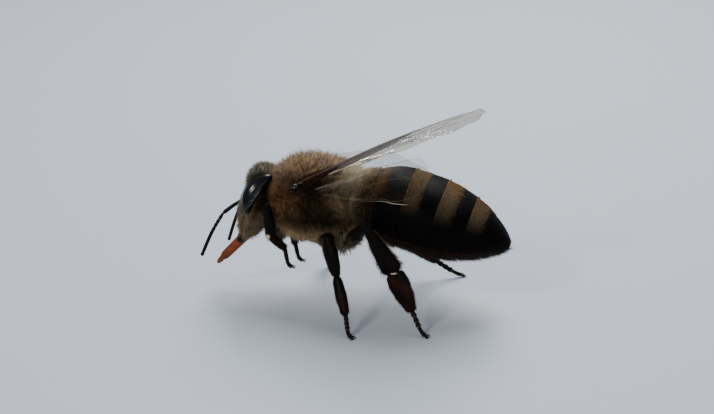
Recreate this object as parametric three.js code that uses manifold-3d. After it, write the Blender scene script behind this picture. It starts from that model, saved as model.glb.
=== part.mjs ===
// A western honey bee worker at life size, drinking: the head is low, the tongue is out, the front feet
// hang clear, the middle and hind feet stand on the ground, the left wings are lifted and the right
// wings lie along the flank.
// Millimetres, +Z up. The head points along -X and the bee's right side is +Y.
// The outlines of head, thorax and abdomen run to the tips of the coat.
import * as THREE from "three";
import { mergeVertices } from "three/addons/utils/BufferGeometryUtils.js";
import Module from "manifold-3d";

const wasm = await Module();
wasm.setup();

const GAP = 0.05; // clearance between pieces that meet
const SIDES_BODY = 22; // facets round the head and thorax
const SIDES_ABDOMEN = 20; // facets round the abdomen
const SIDES_LIMB = 7; // facets round a leg segment or feeler
const WING_THICKNESS = 0.5;
const WING_CELLS = { along: 10, across: 4 };
const WING_REACH = 0.995; // a blade stops just short of its outline's furthest point, to keep an end face
const FEELER_RADIUS = 0.25;
const FLOOR_CUT = 4; // depth of the block that trims the soles flat

// Body: each axis runs through these points, and the half sizes are at the fullest section. A lower
// square makes the section boxier, and the head's flat sides stand behind its eyes.
const THORAX = {
  axis: [[-4.35, 0, 4.95], [-2.05, 0, 5.0], [0.25, 0, 4.95]],
  up: 2.1, down: 2.05, side: 2.2, square: 0.92, fullest: 0.5, front: [2.3, 2.3], rear: [2.3, 2.3],
};
const HEAD = {
  axis: [[-4.38, 0, 6.5], [-4.68, 0, 4.9], [-5.26, 0, 2.88]],
  up: 0.84, down: 0.55, side: 1.76, square: 0.75, fullest: 0.38, front: [2.6, 2.6], rear: [2.4, 1.6],
};
const ABDOMEN = {
  axis: [[-0.12, 0, 5.3], [2.1, 0, 4.92], [4.6, 0, 4.22], [7.25, 0, 3.36]],
  up: 1.82, down: 1.86, side: 2.22, square: 0.92, fullest: 0.43, front: [3.5, 3.5], rear: [2, 1.4],
};
const HEAD_ROLL = { degrees: 13, about: [-4.8, 0, 5] }; // the right side of the head is held lower
// Where along the abdomen one ring ends and the next begins.
const SEGMENT_ENDS = [0, 0.12, 0.317, 0.513, 0.705, 0.84, 1];
const RING_FLARE = 0.03; // each ring is this much fuller at its rear edge

const WAIST = { from: [-0.6, 0, 4.9], to: [0.6, 0, 5.15], radius: 0.5 };

// A kidney-shaped eye: its middle is bent forward of its two ends.
const EYE = {
  centre: [-4.36, 1.42, 5.26], along: [0.52, -0.2, 0.86], across: [-0.4, 1, 0.05],
  half: [1.08, 0.4, 0.56], bend: 0.28,
};
const MANDIBLE = { from: [-5.05, 0.5, 3.4], to: [-5.55, 0.2, 2.5], width: 0.3, depth: 0.26 };
const PROBOSCIS = { from: [-5.0, 0, 3.25], to: [-6.5, 0, 1.7], radius: 0.27 };
const GLOSSA = { to: [-6.76, 0, 1.4] };

// Feelers: socket in the face, elbow, and the points of the curved lash.
const FEELERS = {
  left: [[-5.0, -0.3, 5.0], [-5.92, -1.6, 4.56], [-6.36, -1.95, 3.75], [-6.84, -2.15, 2.6]],
  right: [[-5.0, 0.3, 4.9], [-5.85, 1.5, 4.14], [-6.32, 1.78, 3.1], [-6.74, 1.88, 1.85]],
};

// Legs: root, end of the trochanter, knee, end of the shin, end of the heel joint, sole, toes.
const LEGS = {
  front_left: [
    [-3.3, -0.5, 3.9], [-3.76, -1.1, 3.34], [-3.8, -1.82, 5.15], [-3.64, -1.72, 3.6],
    [-3.05, -1.55, 3.06], [-2.87, -1.42, 2.16], [-2.62, -1.38, 2.08],
  ],
  front_right: [
    [-3.3, 0.5, 3.9], [-3.7, 1.1, 3.4], [-3.84, 1.95, 4.5], [-3.42, 1.4, 3.08],
    [-3.2, 0.98, 2.3], [-2.96, 0.92, 1.56], [-2.72, 0.92, 1.5],
  ],
  middle_left: [
    [-1.8, -0.5, 3.7], [-1.5, -1.05, 3.0], [-0.82, -2.55, 4.1], [-0.33, -2.88, 2.4],
    [0.27, -3.72, 0.95], [0.52, -4.05, 0.22], [0.84, -4.3, 0.2],
  ],
  middle_right: [
    [-1.85, 0.5, 3.7], [-1.75, 1.1, 3.0], [-1.75, 2.6, 4.05], [-2.05, 3.1, 2.15],
    [-2.34, 3.72, 0.88], [-2.14, 4.0, 0.24], [-1.82, 4.2, 0.18],
  ],
  hind_left: [
    [-0.8, -0.55, 3.9], [-0.2, -1.2, 3.3], [0.92, -2.62, 4.85], [2.22, -2.55, 2.7],
    [3.14, -2.96, 1.08], [3.72, -3.26, 0.22], [4.1, -3.44, 0.2],
  ],
  hind_right: [
    [-0.8, 0.55, 3.9], [-0.2, 1.2, 3.3], [0.7, 3.0, 3.7], [2.15, 2.62, 2.3],
    [3.2, 3.35, 1.0], [4.3, 4.0, 0.22], [4.78, 4.28, 0.18],
  ],
};
// Half width and half thickness of each leg segment: hip, thigh, shin, heel joint, foot.
const LEG_SECTIONS = {
  front: [[0.4, 0.36], [0.36, 0.3], [0.3, 0.27], [0.27, 0.25], [0.25, 0.25]],
  middle: [[0.45, 0.4], [0.4, 0.32], [0.36, 0.28], [0.31, 0.26], [0.26, 0.25]],
  hind: [[0.48, 0.42], [0.43, 0.34], [0.52, 0.28], [0.54, 0.26], [0.26, 0.25]],
};
const SEGMENT_NAMES = ["hip", "thigh", "shin", "heel", "foot"];
// Where along its length each segment is widest, and how bluntly it starts.
const SEGMENT_FULLEST = [0.5, 0.45, 0.72, 0.5, 0.5];
const SEGMENT_START = [3.2, 3.2, 2.1, 3.2, 3.2];

// Wings: three points of the front edge from root to tip, the way from it to the blade's rear edge,
// and how far the blade bellies up between the two edges. The right wings lie round the abdomen.
const WINGS = {
  forewing_left: {
    edge: [[-2.25, -1.72, 6.3], [1.7, -2.74, 8.68], [5.9, -3.75, 10.9]],
    across: [0.2, 0.92, -0.34], belly: 0,
  },
  forewing_right: {
    edge: [[-2.25, 1.75, 6.3], [1.6, 2.85, 4.3], [5.75, 2.2, 2.5]],
    across: [0, -0.5, 0.87], belly: 0.66,
  },
  hindwing_left: {
    edge: [[-1.45, -1.72, 5.95], [1.0, -2.4, 7.25], [3.55, -3.0, 8.42]],
    across: [-0.1, 0.25, -1], belly: 0,
  },
  hindwing_right: {
    edge: [[-1.45, 1.75, 5.6], [0.95, 3.2, 4.7], [3.4, 3.75, 3.9]],
    across: [0, -0.1, -1], belly: 0.1,
  },
};
// Blade outlines: shares of the length, with the front edge bowed ahead of the line from root to tip.
const FOREWING_OUTLINE = { bow: 0.035, width: 0.335, widest: 0.68, root: 0.05 };
const HINDWING_OUTLINE = { bow: 0.02, width: 0.31, widest: 0.72, root: 0.06 };

const MATERIALS = {
  coat: { color: 0x6e5230, roughness: 0.95 },
  plate: { color: 0x1c140e, roughness: 0.35 },
  band: { color: 0x5a3d1e, roughness: 0.5 },
  eye: { color: 0x0b090b, roughness: 0.12 },
  leg: { color: 0x17100c, roughness: 0.4 },
  feeler: { color: 0x10110f, roughness: 0.45 },
  tongue: { color: 0x9a3410, roughness: 0.35 },
  wing: { color: 0x8f8478, roughness: 0.25 },
};

const point = ([x, y, z]) => new THREE.Vector3(x, y, z);
const raised = (value, power) => Math.sign(value) * Math.abs(value) ** power;

// A fullness from 0 to 1 to 0: an arc of a superellipse on each side of the fullest place.
function fullness(t, { fullest, front, rear }) {
  const [a, b] = t < fullest ? front : rear;
  const reach = t < fullest ? (fullest - t) / fullest : (t - fullest) / (1 - fullest);
  return Math.max(0, 1 - Math.min(1, reach) ** a) ** (1 / b);
}

// Turns a point of the head by its roll.
function rolled(p) {
  const pivot = point(HEAD_ROLL.about);
  const angle = THREE.MathUtils.degToRad(HEAD_ROLL.degrees);
  return p.sub(pivot).applyAxisAngle(new THREE.Vector3(-1, 0, 0), angle).add(pivot);
}

// The closed solid of a geometry, turned so that its faces point out.
function solidOf(geometry) {
  const bare = geometry.clone();
  bare.deleteAttribute("normal");
  bare.deleteAttribute("uv");
  const merged = mergeVertices(bare, 1e-4);
  const triVerts = new Uint32Array(merged.index.array);
  const vertProperties = merged.attributes.position.array;
  const make = () => new wasm.Manifold(new wasm.Mesh({ numProp: 3, vertProperties, triVerts }));
  const made = make();
  if (made.volume() > 0) return made;
  for (let i = 0; i < triVerts.length; i += 3) {
    [triVerts[i + 1], triVerts[i + 2]] = [triVerts[i + 2], triVerts[i + 1]];
  }
  return make();
}

// Moves every vertex of a unit sphere or cylinder to where place(t, angle, rho) puts it: t runs 0 to 1
// along Y, angle goes round Y, and rho is 0 only at a cylinder cap's middle.
function mapped(geometry, isSphere, place) {
  const position = geometry.attributes.position;
  for (let i = 0; i < position.count; i++) {
    const v = new THREE.Vector3().fromBufferAttribute(position, i);
    const round = Math.hypot(v.x, v.z);
    const t = isSphere ? Math.acos(THREE.MathUtils.clamp(v.y, -1, 1)) / Math.PI : 0.5 - v.y;
    const rho = isSphere ? 1 : round;
    const p = place(t, Math.atan2(v.z, v.x), rho);
    position.setXYZ(i, p.x, p.y, p.z);
  }
  return solidOf(geometry);
}

// The skin of a body part at axis share t, grown outward by extra.
function bodyPoint(part, t, angle, rho, extra = 0, flare = 1) {
  const curve = new THREE.CatmullRomCurve3(part.axis.map(point));
  const centre = curve.getPointAt(t);
  const along = curve.getTangentAt(t);
  const side = new THREE.Vector3(0, 1, 0);
  const up = new THREE.Vector3().crossVectors(along, side).normalize();
  const full = fullness(t, part) * flare;
  const c = raised(Math.cos(angle), part.square);
  const s = raised(Math.sin(angle), part.square);
  const height = s > 0 ? part.up : part.down;
  return centre
    .addScaledVector(side, rho * c * (part.side * full + extra))
    .addScaledVector(up, rho * s * (height * full + extra));
}

// A round-ended body part. Its rings crowd towards the ends, where it curves most.
function bodySolid(part, sides, rings, extra = 0) {
  const geometry = new THREE.SphereGeometry(1, sides, rings);
  return mapped(geometry, true, (t, angle) => {
    const share = (1 - Math.cos(Math.PI * t)) / 2;
    const p = bodyPoint(part, share, angle, 1, t > 0 && t < 1 ? extra : 0);
    p.addScaledVector(axisDirection(part), extra * (2 * share - 1));
    return part === HEAD ? rolled(p) : p;
  });
}

function axisDirection(part) {
  return point(part.axis.at(-1)).sub(point(part.axis[0])).normalize();
}

// A length of the abdomen from share t0 to t1, a little fuller towards its rear edge.
function ringSolid(t0, t1) {
  const geometry = new THREE.CylinderGeometry(1, 1, 1, SIDES_ABDOMEN, 4);
  return mapped(geometry, false, (t, angle, rho) => {
    const share = t0 + (t1 - t0) * t;
    return bodyPoint(ABDOMEN, share, angle, rho, 0, 1 - RING_FLARE + RING_FLARE * t);
  });
}

// The pointed last ring of the abdomen, from share t0 to the tip.
function tipSolid(t0) {
  const geometry = new THREE.CylinderGeometry(1, 1, 1, SIDES_ABDOMEN, 6);
  return mapped(geometry, false, (t, angle, rho) => {
    const share = t0 + (0.985 - t0) * t;
    return bodyPoint(ABDOMEN, share, angle, rho, 0, 1 - RING_FLARE + RING_FLARE * t);
  });
}

// A spindle along a curve through the points, with an elliptical section whose wide axis lies along wide.
function limbSolid(points, [width, depth], options = {}) {
  const { fullest = 0.5, wide = [1, 0, 0], extra = 0 } = options;
  const { sides = SIDES_LIMB, rings = 6, blunt = 3.2, start = blunt } = options;
  const curve = new THREE.CatmullRomCurve3(points.map(point));
  const arc = { fullest, front: [start, start], rear: [blunt, blunt] };
  return mapped(new THREE.SphereGeometry(1, sides, rings), true, (t, angle) => {
    const share = (1 - Math.cos(Math.PI * t)) / 2;
    const along = curve.getTangentAt(share);
    const across = point(wide).projectOnPlane(along).normalize();
    const out = new THREE.Vector3().crossVectors(along, across);
    const full = fullness(share, arc);
    return curve
      .getPointAt(share)
      .addScaledVector(along, extra * (2 * share - 1))
      .addScaledVector(across, Math.cos(angle) * (width * full + (full > 0 ? extra : 0)))
      .addScaledVector(out, Math.sin(angle) * (depth * full + (full > 0 ? extra : 0)));
  });
}

// An ellipsoid with its long axis along one direction, bulging across it and bent towards the face.
function eyeSolid(side, extra = 0) {
  const mirror = ([x, y, z]) => new THREE.Vector3(x, y * side, z);
  const along = mirror(EYE.along).normalize();
  const across = mirror(EYE.across).projectOnPlane(along).normalize();
  const front = new THREE.Vector3().crossVectors(along, across).multiplyScalar(side);
  const [length, width, bulge] = EYE.half.map((half) => half + extra);
  const centre = mirror(EYE.centre);
  return mapped(new THREE.SphereGeometry(1, 12, 9), true, (t, angle) => {
    const full = Math.sin(Math.PI * t);
    const p = centre
      .clone()
      .addScaledVector(along, length * Math.cos(Math.PI * t))
      .addScaledVector(front, width * full * Math.cos(angle) + EYE.bend * (full ** 2 - 0.5))
      .addScaledVector(across, bulge * full * Math.sin(angle));
    return rolled(p);
  });
}

// The blade's outline in its own plane: x along the wing, y across it from the front edge. Each curve is
// two handles and an end, in shares of the length and of the greatest width.
function bladeShape(length, { bow, width, widest, root }) {
  const w = width * length;
  const lead = (-bow * length) / w;
  const foot = (root * length) / w / 2;
  const curves = [
    [[0.3, lead], [0.75, 1.4 * lead], [0.95, 0.04]],
    [[1.01, 0.16], [0.985, 0.4], [0.93, 0.56]],
    [[widest + 0.14, 0.9], [widest + 0.03, 1], [widest, 1]],
    [[0.42, 0.98], [0.2, 0.4], [0, foot]],
  ];
  const shape = new THREE.Shape();
  shape.moveTo(0, -foot * w);
  for (const curve of curves) shape.bezierCurveTo(...curve.flatMap(([x, y]) => [x * length, y * w]));
  return shape;
}

// The height of a run of outline points at an x, by straight steps between them.
function heightAt(run, x) {
  const i = Math.max(1, run.findIndex((p) => p.x >= x));
  const [a, b] = [run[i - 1], run[i]];
  return a.y + ((b.y - a.y) * (x - a.x)) / Math.max(1e-9, b.x - a.x);
}

// A blade of even thickness that follows its curved front edge; extra grows it on every side.
// It starts as a box of cells, x from root to tip, y from front to rear edge and z through it.
function wingSolid({ edge, across, belly }, outline, extra = 0) {
  const curve = new THREE.CatmullRomCurve3(edge.map(point));
  const length = point(edge[0]).distanceTo(point(edge[2]));
  const middle = (outline.width * length) / 2;
  const rim = bladeShape(length, outline).getPoints(24);
  const tip = rim.reduce((best, p, i) => (p.x > rim[best].x ? i : best), 0);
  const front = rim.slice(0, tip + 1);
  const rear = rim.slice(tip).reverse();
  const depth = WING_THICKNESS + 2 * extra;
  const geometry = new THREE.BoxGeometry(1, 1, depth, WING_CELLS.along, WING_CELLS.across, 1);
  const position = geometry.attributes.position;
  for (let i = 0; i < position.count; i++) {
    const run = Math.sin((Math.PI / 2) * (position.getX(i) + 0.5));
    const x = WING_REACH * rim[tip].x * run;
    const y = THREE.MathUtils.lerp(heightAt(front, x), heightAt(rear, x), position.getY(i) + 0.5);
    const held = Math.min(1, x / length);
    const along = curve.getTangentAt(held);
    const chord = point(across).projectOnPlane(along).normalize();
    const outward = new THREE.Vector3().crossVectors(along, chord);
    const isUpright = Math.abs(chord.z) > 0.8;
    const facing = isUpright ? outward.y * edge[0][1] : outward.z;
    const inset = y / middle - 1;
    const rise = belly * Math.max(0, 1 - inset * inset) + position.getZ(i);
    const p = curve
      .getPointAt(held)
      .addScaledVector(along, x - held * length + extra * (2 * run - 1))
      .addScaledVector(chord, y + 2 * extra * position.getY(i))
      .addScaledVector(outward, facing < 0 ? -rise : rise);
    position.setXYZ(i, p.x, p.y, p.z);
  }
  return solidOf(geometry);
}

const group = new THREE.Group();
const pieces = [];

// A piece keeps only its largest body, so that no boolean leaves a crumb.
function add(name, solid, material) {
  const bodies = solid.decompose().sort((a, b) => b.volume() - a.volume());
  pieces.push({ name, solid: bodies[0], material });
}

const ground = solidOf(new THREE.BoxGeometry(40, 40, FLOOR_CUT).translate(0, 0, -FLOOR_CUT / 2));

// Legs first, because the body is cut clear of them.
const legCutters = [];
const thorax = bodySolid(THORAX, SIDES_BODY, 14);
const thoraxClear = bodySolid(THORAX, SIDES_BODY, 14, GAP);
for (const [leg, joints] of Object.entries(LEGS)) {
  const pair = leg.split("_")[0];
  let before = thoraxClear;
  SEGMENT_NAMES.forEach((segment, i) => {
    const points = segment === "foot" ? joints.slice(4) : [joints[i], joints[i + 1]];
    const options = { fullest: SEGMENT_FULLEST[i], start: SEGMENT_START[i], wide: [1, 0, 0.35] };
    const section = LEG_SECTIONS[pair][i];
    let solid = limbSolid(points, section, options).subtract(before);
    if (segment === "foot") solid = solid.subtract(ground);
    add(`leg_${leg}_${segment}`, solid, "leg");
    const clear = limbSolid(points, section, { ...options, extra: GAP });
    before = segment === "hip" ? clear.add(thoraxClear) : clear;
    if (segment !== "hip") legCutters.push(clear);
  });
}
const clearOfLegs = (solid) => legCutters.reduce((left, cutter) => left.subtract(cutter), solid);

const eyes = { left: -1, right: 1 };
let head = bodySolid(HEAD, SIDES_BODY, 14).subtract(thoraxClear);
for (const side of Object.values(eyes)) head = head.subtract(eyeSolid(side, GAP));
const headClear = bodySolid(HEAD, SIDES_BODY, 14, GAP);

const proboscisPoints = [PROBOSCIS.from, PROBOSCIS.to];
const proboscisRound = [PROBOSCIS.radius, PROBOSCIS.radius];
const feelerRound = [FEELER_RADIUS, FEELER_RADIUS];
const proboscis = limbSolid(proboscisPoints, proboscisRound, { blunt: 4 });
const proboscisClear = limbSolid(proboscisPoints, proboscisRound, { blunt: 4, extra: GAP });
const glossa = limbSolid([PROBOSCIS.to, GLOSSA.to], feelerRound, { blunt: 4, rings: 5 });
const halves = solidOf(new THREE.BoxGeometry(6, GAP, 6).translate(-5, 0, 3));

add("proboscis", proboscis.subtract(headClear), "tongue");
add("glossa", glossa.subtract(proboscisClear), "tongue");
for (const [name, side] of Object.entries(eyes)) {
  const flip = ([x, y, z]) => [x, y * side, z];
  const jawPoints = [flip(MANDIBLE.from), flip(MANDIBLE.to)];
  const jaw = limbSolid(jawPoints, [MANDIBLE.width, MANDIBLE.depth], { sides: 6, rings: 5 });
  add(`mandible_${name}`, jaw.subtract(headClear).subtract(proboscisClear).subtract(halves), "leg");
  add(`eye_${name}`, eyeSolid(side).subtract(thoraxClear), "eye");
  const [socket, elbow, ...lash] = FEELERS[name];
  const scape = [socket, elbow];
  add(`antenna_${name}_scape`, limbSolid(scape, feelerRound, { blunt: 5 }).subtract(headClear), "feeler");
  const scapeClear = limbSolid(scape, feelerRound, { blunt: 5, extra: GAP });
  const flagellum = limbSolid([elbow, ...lash], feelerRound, { blunt: 6, rings: 9 });
  add(`antenna_${name}_flagellum`, flagellum.subtract(scapeClear), "feeler");
}
add("head", clearOfLegs(head), "coat");
add("thorax", clearOfLegs(thorax), "coat");

const abdomenClear = bodySolid(ABDOMEN, SIDES_ABDOMEN, 14, GAP);
const wingCutters = [thoraxClear, abdomenClear, ...legCutters];
for (const [name, wing] of Object.entries(WINGS)) {
  const outline = name.startsWith("fore") ? FOREWING_OUTLINE : HINDWING_OUTLINE;
  const blade = wingSolid(wing, outline);
  add(name, wingCutters.reduce((left, cutter) => left.subtract(cutter), blade), "wing");
  wingCutters.push(wingSolid(wing, outline, GAP));
}

const waistPoints = [WAIST.from, WAIST.to];
const waist = limbSolid(waistPoints, [WAIST.radius, WAIST.radius], { blunt: 8, rings: 5 });
const waistClear = limbSolid(waistPoints, [WAIST.radius, WAIST.radius], { blunt: 8, rings: 5, extra: GAP });
add("waist", waist.subtract(thoraxClear), "plate");
const abdomenLength = new THREE.CatmullRomCurve3(ABDOMEN.axis.map(point)).getLength();
const half = GAP / 2 / abdomenLength;
SEGMENT_ENDS.slice(0, -1).forEach((start, i) => {
  const from = start + (i ? half : 0.012);
  const to = SEGMENT_ENDS[i + 1] - half;
  const ring = i < SEGMENT_ENDS.length - 2 ? ringSolid(from, to) : tipSolid(from);
  const clear = clearOfLegs(ring.subtract(thoraxClear).subtract(waistClear));
  add(`abdomen_${i + 1}`, clear, i === 0 ? "coat" : i === 5 ? "plate" : "band");
});

for (const { name, solid, material } of pieces) {
  const { vertProperties, numProp, numVert, triVerts } = solid.getMesh();
  const position = new Float32Array(numVert * 3);
  for (let i = 0; i < numVert; i++) {
    position.set(vertProperties.subarray(i * numProp, i * numProp + 3), i * 3);
  }
  const geometry = new THREE.BufferGeometry();
  geometry.setAttribute("position", new THREE.BufferAttribute(position, 3));
  geometry.setIndex(new THREE.BufferAttribute(triVerts, 1));
  geometry.computeVertexNormals();
  const mesh = new THREE.Mesh(geometry, new THREE.MeshStandardMaterial(MATERIALS[material]));
  mesh.name = name;
  group.add(mesh);
}

// The origin is the middle of the footprint, on the ground.
const box = new THREE.Box3().setFromObject(group, true);
const middle = box.getCenter(new THREE.Vector3());
group.position.set(-middle.x, -middle.y, -box.min.z);

export default group;
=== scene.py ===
# A western honey bee worker, drinking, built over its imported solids.
# Shapes are worked out in millimetres in the bee's own frame: -X towards the head, +Y its right side.
import math
from collections import namedtuple

import bpy
import numpy as np
from mathutils import Matrix, Vector
from mathutils.kdtree import KDTree


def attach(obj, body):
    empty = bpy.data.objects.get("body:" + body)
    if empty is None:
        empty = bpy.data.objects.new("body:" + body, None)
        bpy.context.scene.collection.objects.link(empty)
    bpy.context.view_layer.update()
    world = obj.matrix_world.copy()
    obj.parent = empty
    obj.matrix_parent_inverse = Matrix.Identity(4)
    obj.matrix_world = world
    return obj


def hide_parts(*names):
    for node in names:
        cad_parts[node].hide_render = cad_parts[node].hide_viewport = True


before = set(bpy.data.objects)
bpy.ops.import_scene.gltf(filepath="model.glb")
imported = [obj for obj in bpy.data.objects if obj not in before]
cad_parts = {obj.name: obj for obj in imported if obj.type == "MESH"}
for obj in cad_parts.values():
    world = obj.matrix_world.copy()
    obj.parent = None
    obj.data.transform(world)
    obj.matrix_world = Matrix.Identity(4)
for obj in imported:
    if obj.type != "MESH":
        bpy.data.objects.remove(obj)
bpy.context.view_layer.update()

MM = 0.001
SHIFT = np.array([0.102183, -0.013786, 0.0])  # from the bee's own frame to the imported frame, in mm
RANDOM = np.random.default_rng(11)
SIDES = (("left", -1), ("right", 1))  # and the sign of y on them


# ---------------------------------------------------------------- geometry helpers


def unit(v):
    return v / np.maximum(np.linalg.norm(v, axis=-1, keepdims=True), 1e-12)


def smooth(low, high, x):
    s = np.clip((x - low) / (high - low), 0, 1)
    return s * s * (3 - 2 * s)


def mix(a, b, share):
    share = np.asarray(share, float)[..., None]
    return np.asarray(a, float) * (1 - share) + np.asarray(b, float) * share


def hump(x, middle, spread):
    """A bell curve of height 1."""
    return np.exp(-(((x - middle) / spread) ** 2))


def blunt(t, power):
    """1 along a length, with a round fall to 0 at both ends, shorter for a greater power."""
    return np.sqrt(np.clip(1 - np.abs(2 * t - 1) ** power, 0, 1))


def turn_round(count):
    """Angles spaced evenly round a full turn."""
    return np.linspace(0, 2 * math.pi, count, endpoint=False)


def waves(p, scale, seed):
    """A smooth random field from -1 to 1 over points, with features about scale mm across."""
    rng = np.random.default_rng(seed)
    total = 0
    for _ in range(6):
        way = unit(rng.normal(size=3)) * rng.uniform(0.7, 1.5) * 2 * math.pi / scale
        total = total + np.sin(p @ way + rng.uniform(0, 6.28))
    return np.clip(total / 2.6, -1, 1)


class Spine:
    """A smooth curve through points, run by its share of length."""

    def __init__(self, points, samples=60):
        p = np.asarray(points, float)
        p = np.vstack([2 * p[0] - p[1], p, 2 * p[-1] - p[-2]])
        parts = []
        for i in range(1, len(p) - 2):
            p0, p1, p2, p3 = p[i - 1 : i + 3]
            d0, d1, d2 = (math.sqrt(np.linalg.norm(b - a)) for a, b in ((p0, p1), (p1, p2), (p2, p3)))
            m1 = ((p1 - p0) / d0 - (p2 - p0) / (d0 + d1) + (p2 - p1) / d1) * d1
            m2 = ((p2 - p1) / d1 - (p3 - p1) / (d1 + d2) + (p3 - p2) / d2) * d1
            s = np.linspace(0, 1, samples, endpoint=False)[:, None]
            h = (2 * s**3 - 3 * s**2 + 1, s**3 - 2 * s**2 + s, 3 * s**2 - 2 * s**3, s**3 - s**2)
            parts.append(h[0] * p1 + h[1] * m1 + h[2] * p2 + h[3] * m2)
        parts.append(p[-2][None])
        self.path = np.vstack(parts)
        steps = np.linalg.norm(np.diff(self.path, axis=0), axis=1)
        self.run = np.concatenate([[0], np.cumsum(steps)])
        self.length = self.run[-1]

    def at(self, t):
        d = np.asarray(t, float) * self.length
        out = np.stack([np.interp(d, self.run, self.path[:, k]) for k in range(3)], -1)
        first = unit(self.path[1] - self.path[0])
        last = unit(self.path[-1] - self.path[-2])
        out = out + np.minimum(d, 0)[..., None] * first
        return out + np.maximum(d - self.length, 0)[..., None] * last

    def along(self, t):
        return unit(self.at(np.asarray(t) + 0.01) - self.at(np.asarray(t) - 0.01))


class Surface:
    """A closed skin round a spine: point(t, a) for share t of the spine and angle a round it."""

    def __init__(self, points, width, height, side=(0, 1, 0), square=1.0, dent=None, turn=None):
        self.spine = Spine(points)
        self.width = width
        self.height = height
        self.side = np.asarray(side, float)
        self.square = square
        self.dent = dent
        self.turn = turn

    def axes(self, t):
        along = self.spine.along(t)
        side = unit(self.side - along * (along @ self.side)[..., None])
        return side, np.cross(along, side)

    def point(self, t, a):
        t, a = np.broadcast_arrays(np.asarray(t, float), np.asarray(a, float))
        side, up = self.axes(t)
        c = np.sign(np.cos(a)) * np.abs(np.cos(a)) ** self.square
        s = np.sign(np.sin(a)) * np.abs(np.sin(a)) ** self.square
        k = 1 if self.dent is None else 1 + self.dent(t, a)
        p = self.spine.at(t)
        p = p + side * (c * self.width(t) * k)[..., None] + up * (s * self.height(t, a) * k)[..., None]
        return p if self.turn is None else self.turn(p)

    def frame(self, t, a):
        """Points, outward normals and the direction of growing t."""
        e = 1e-3
        inside = np.clip(t, 2 * e, 1 - 2 * e)
        p = self.point(t, a)
        dt = self.point(inside + e, a) - self.point(inside - e, a)
        da = self.point(inside, a + e) - self.point(inside, a - e)
        n = unit(np.cross(dt, da))
        middle = self.spine.at(inside)
        middle = middle if self.turn is None else self.turn(middle)
        n = n * np.sign(((p - middle) * n).sum(-1, keepdims=True) + 1e-9)
        return p, n, unit(dt)


THIRD_OF_TURN = 2.0944
HAIR_ON_MAP = (0.0011, 0.003)  # the width and length of a hair on its piece's map


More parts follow.
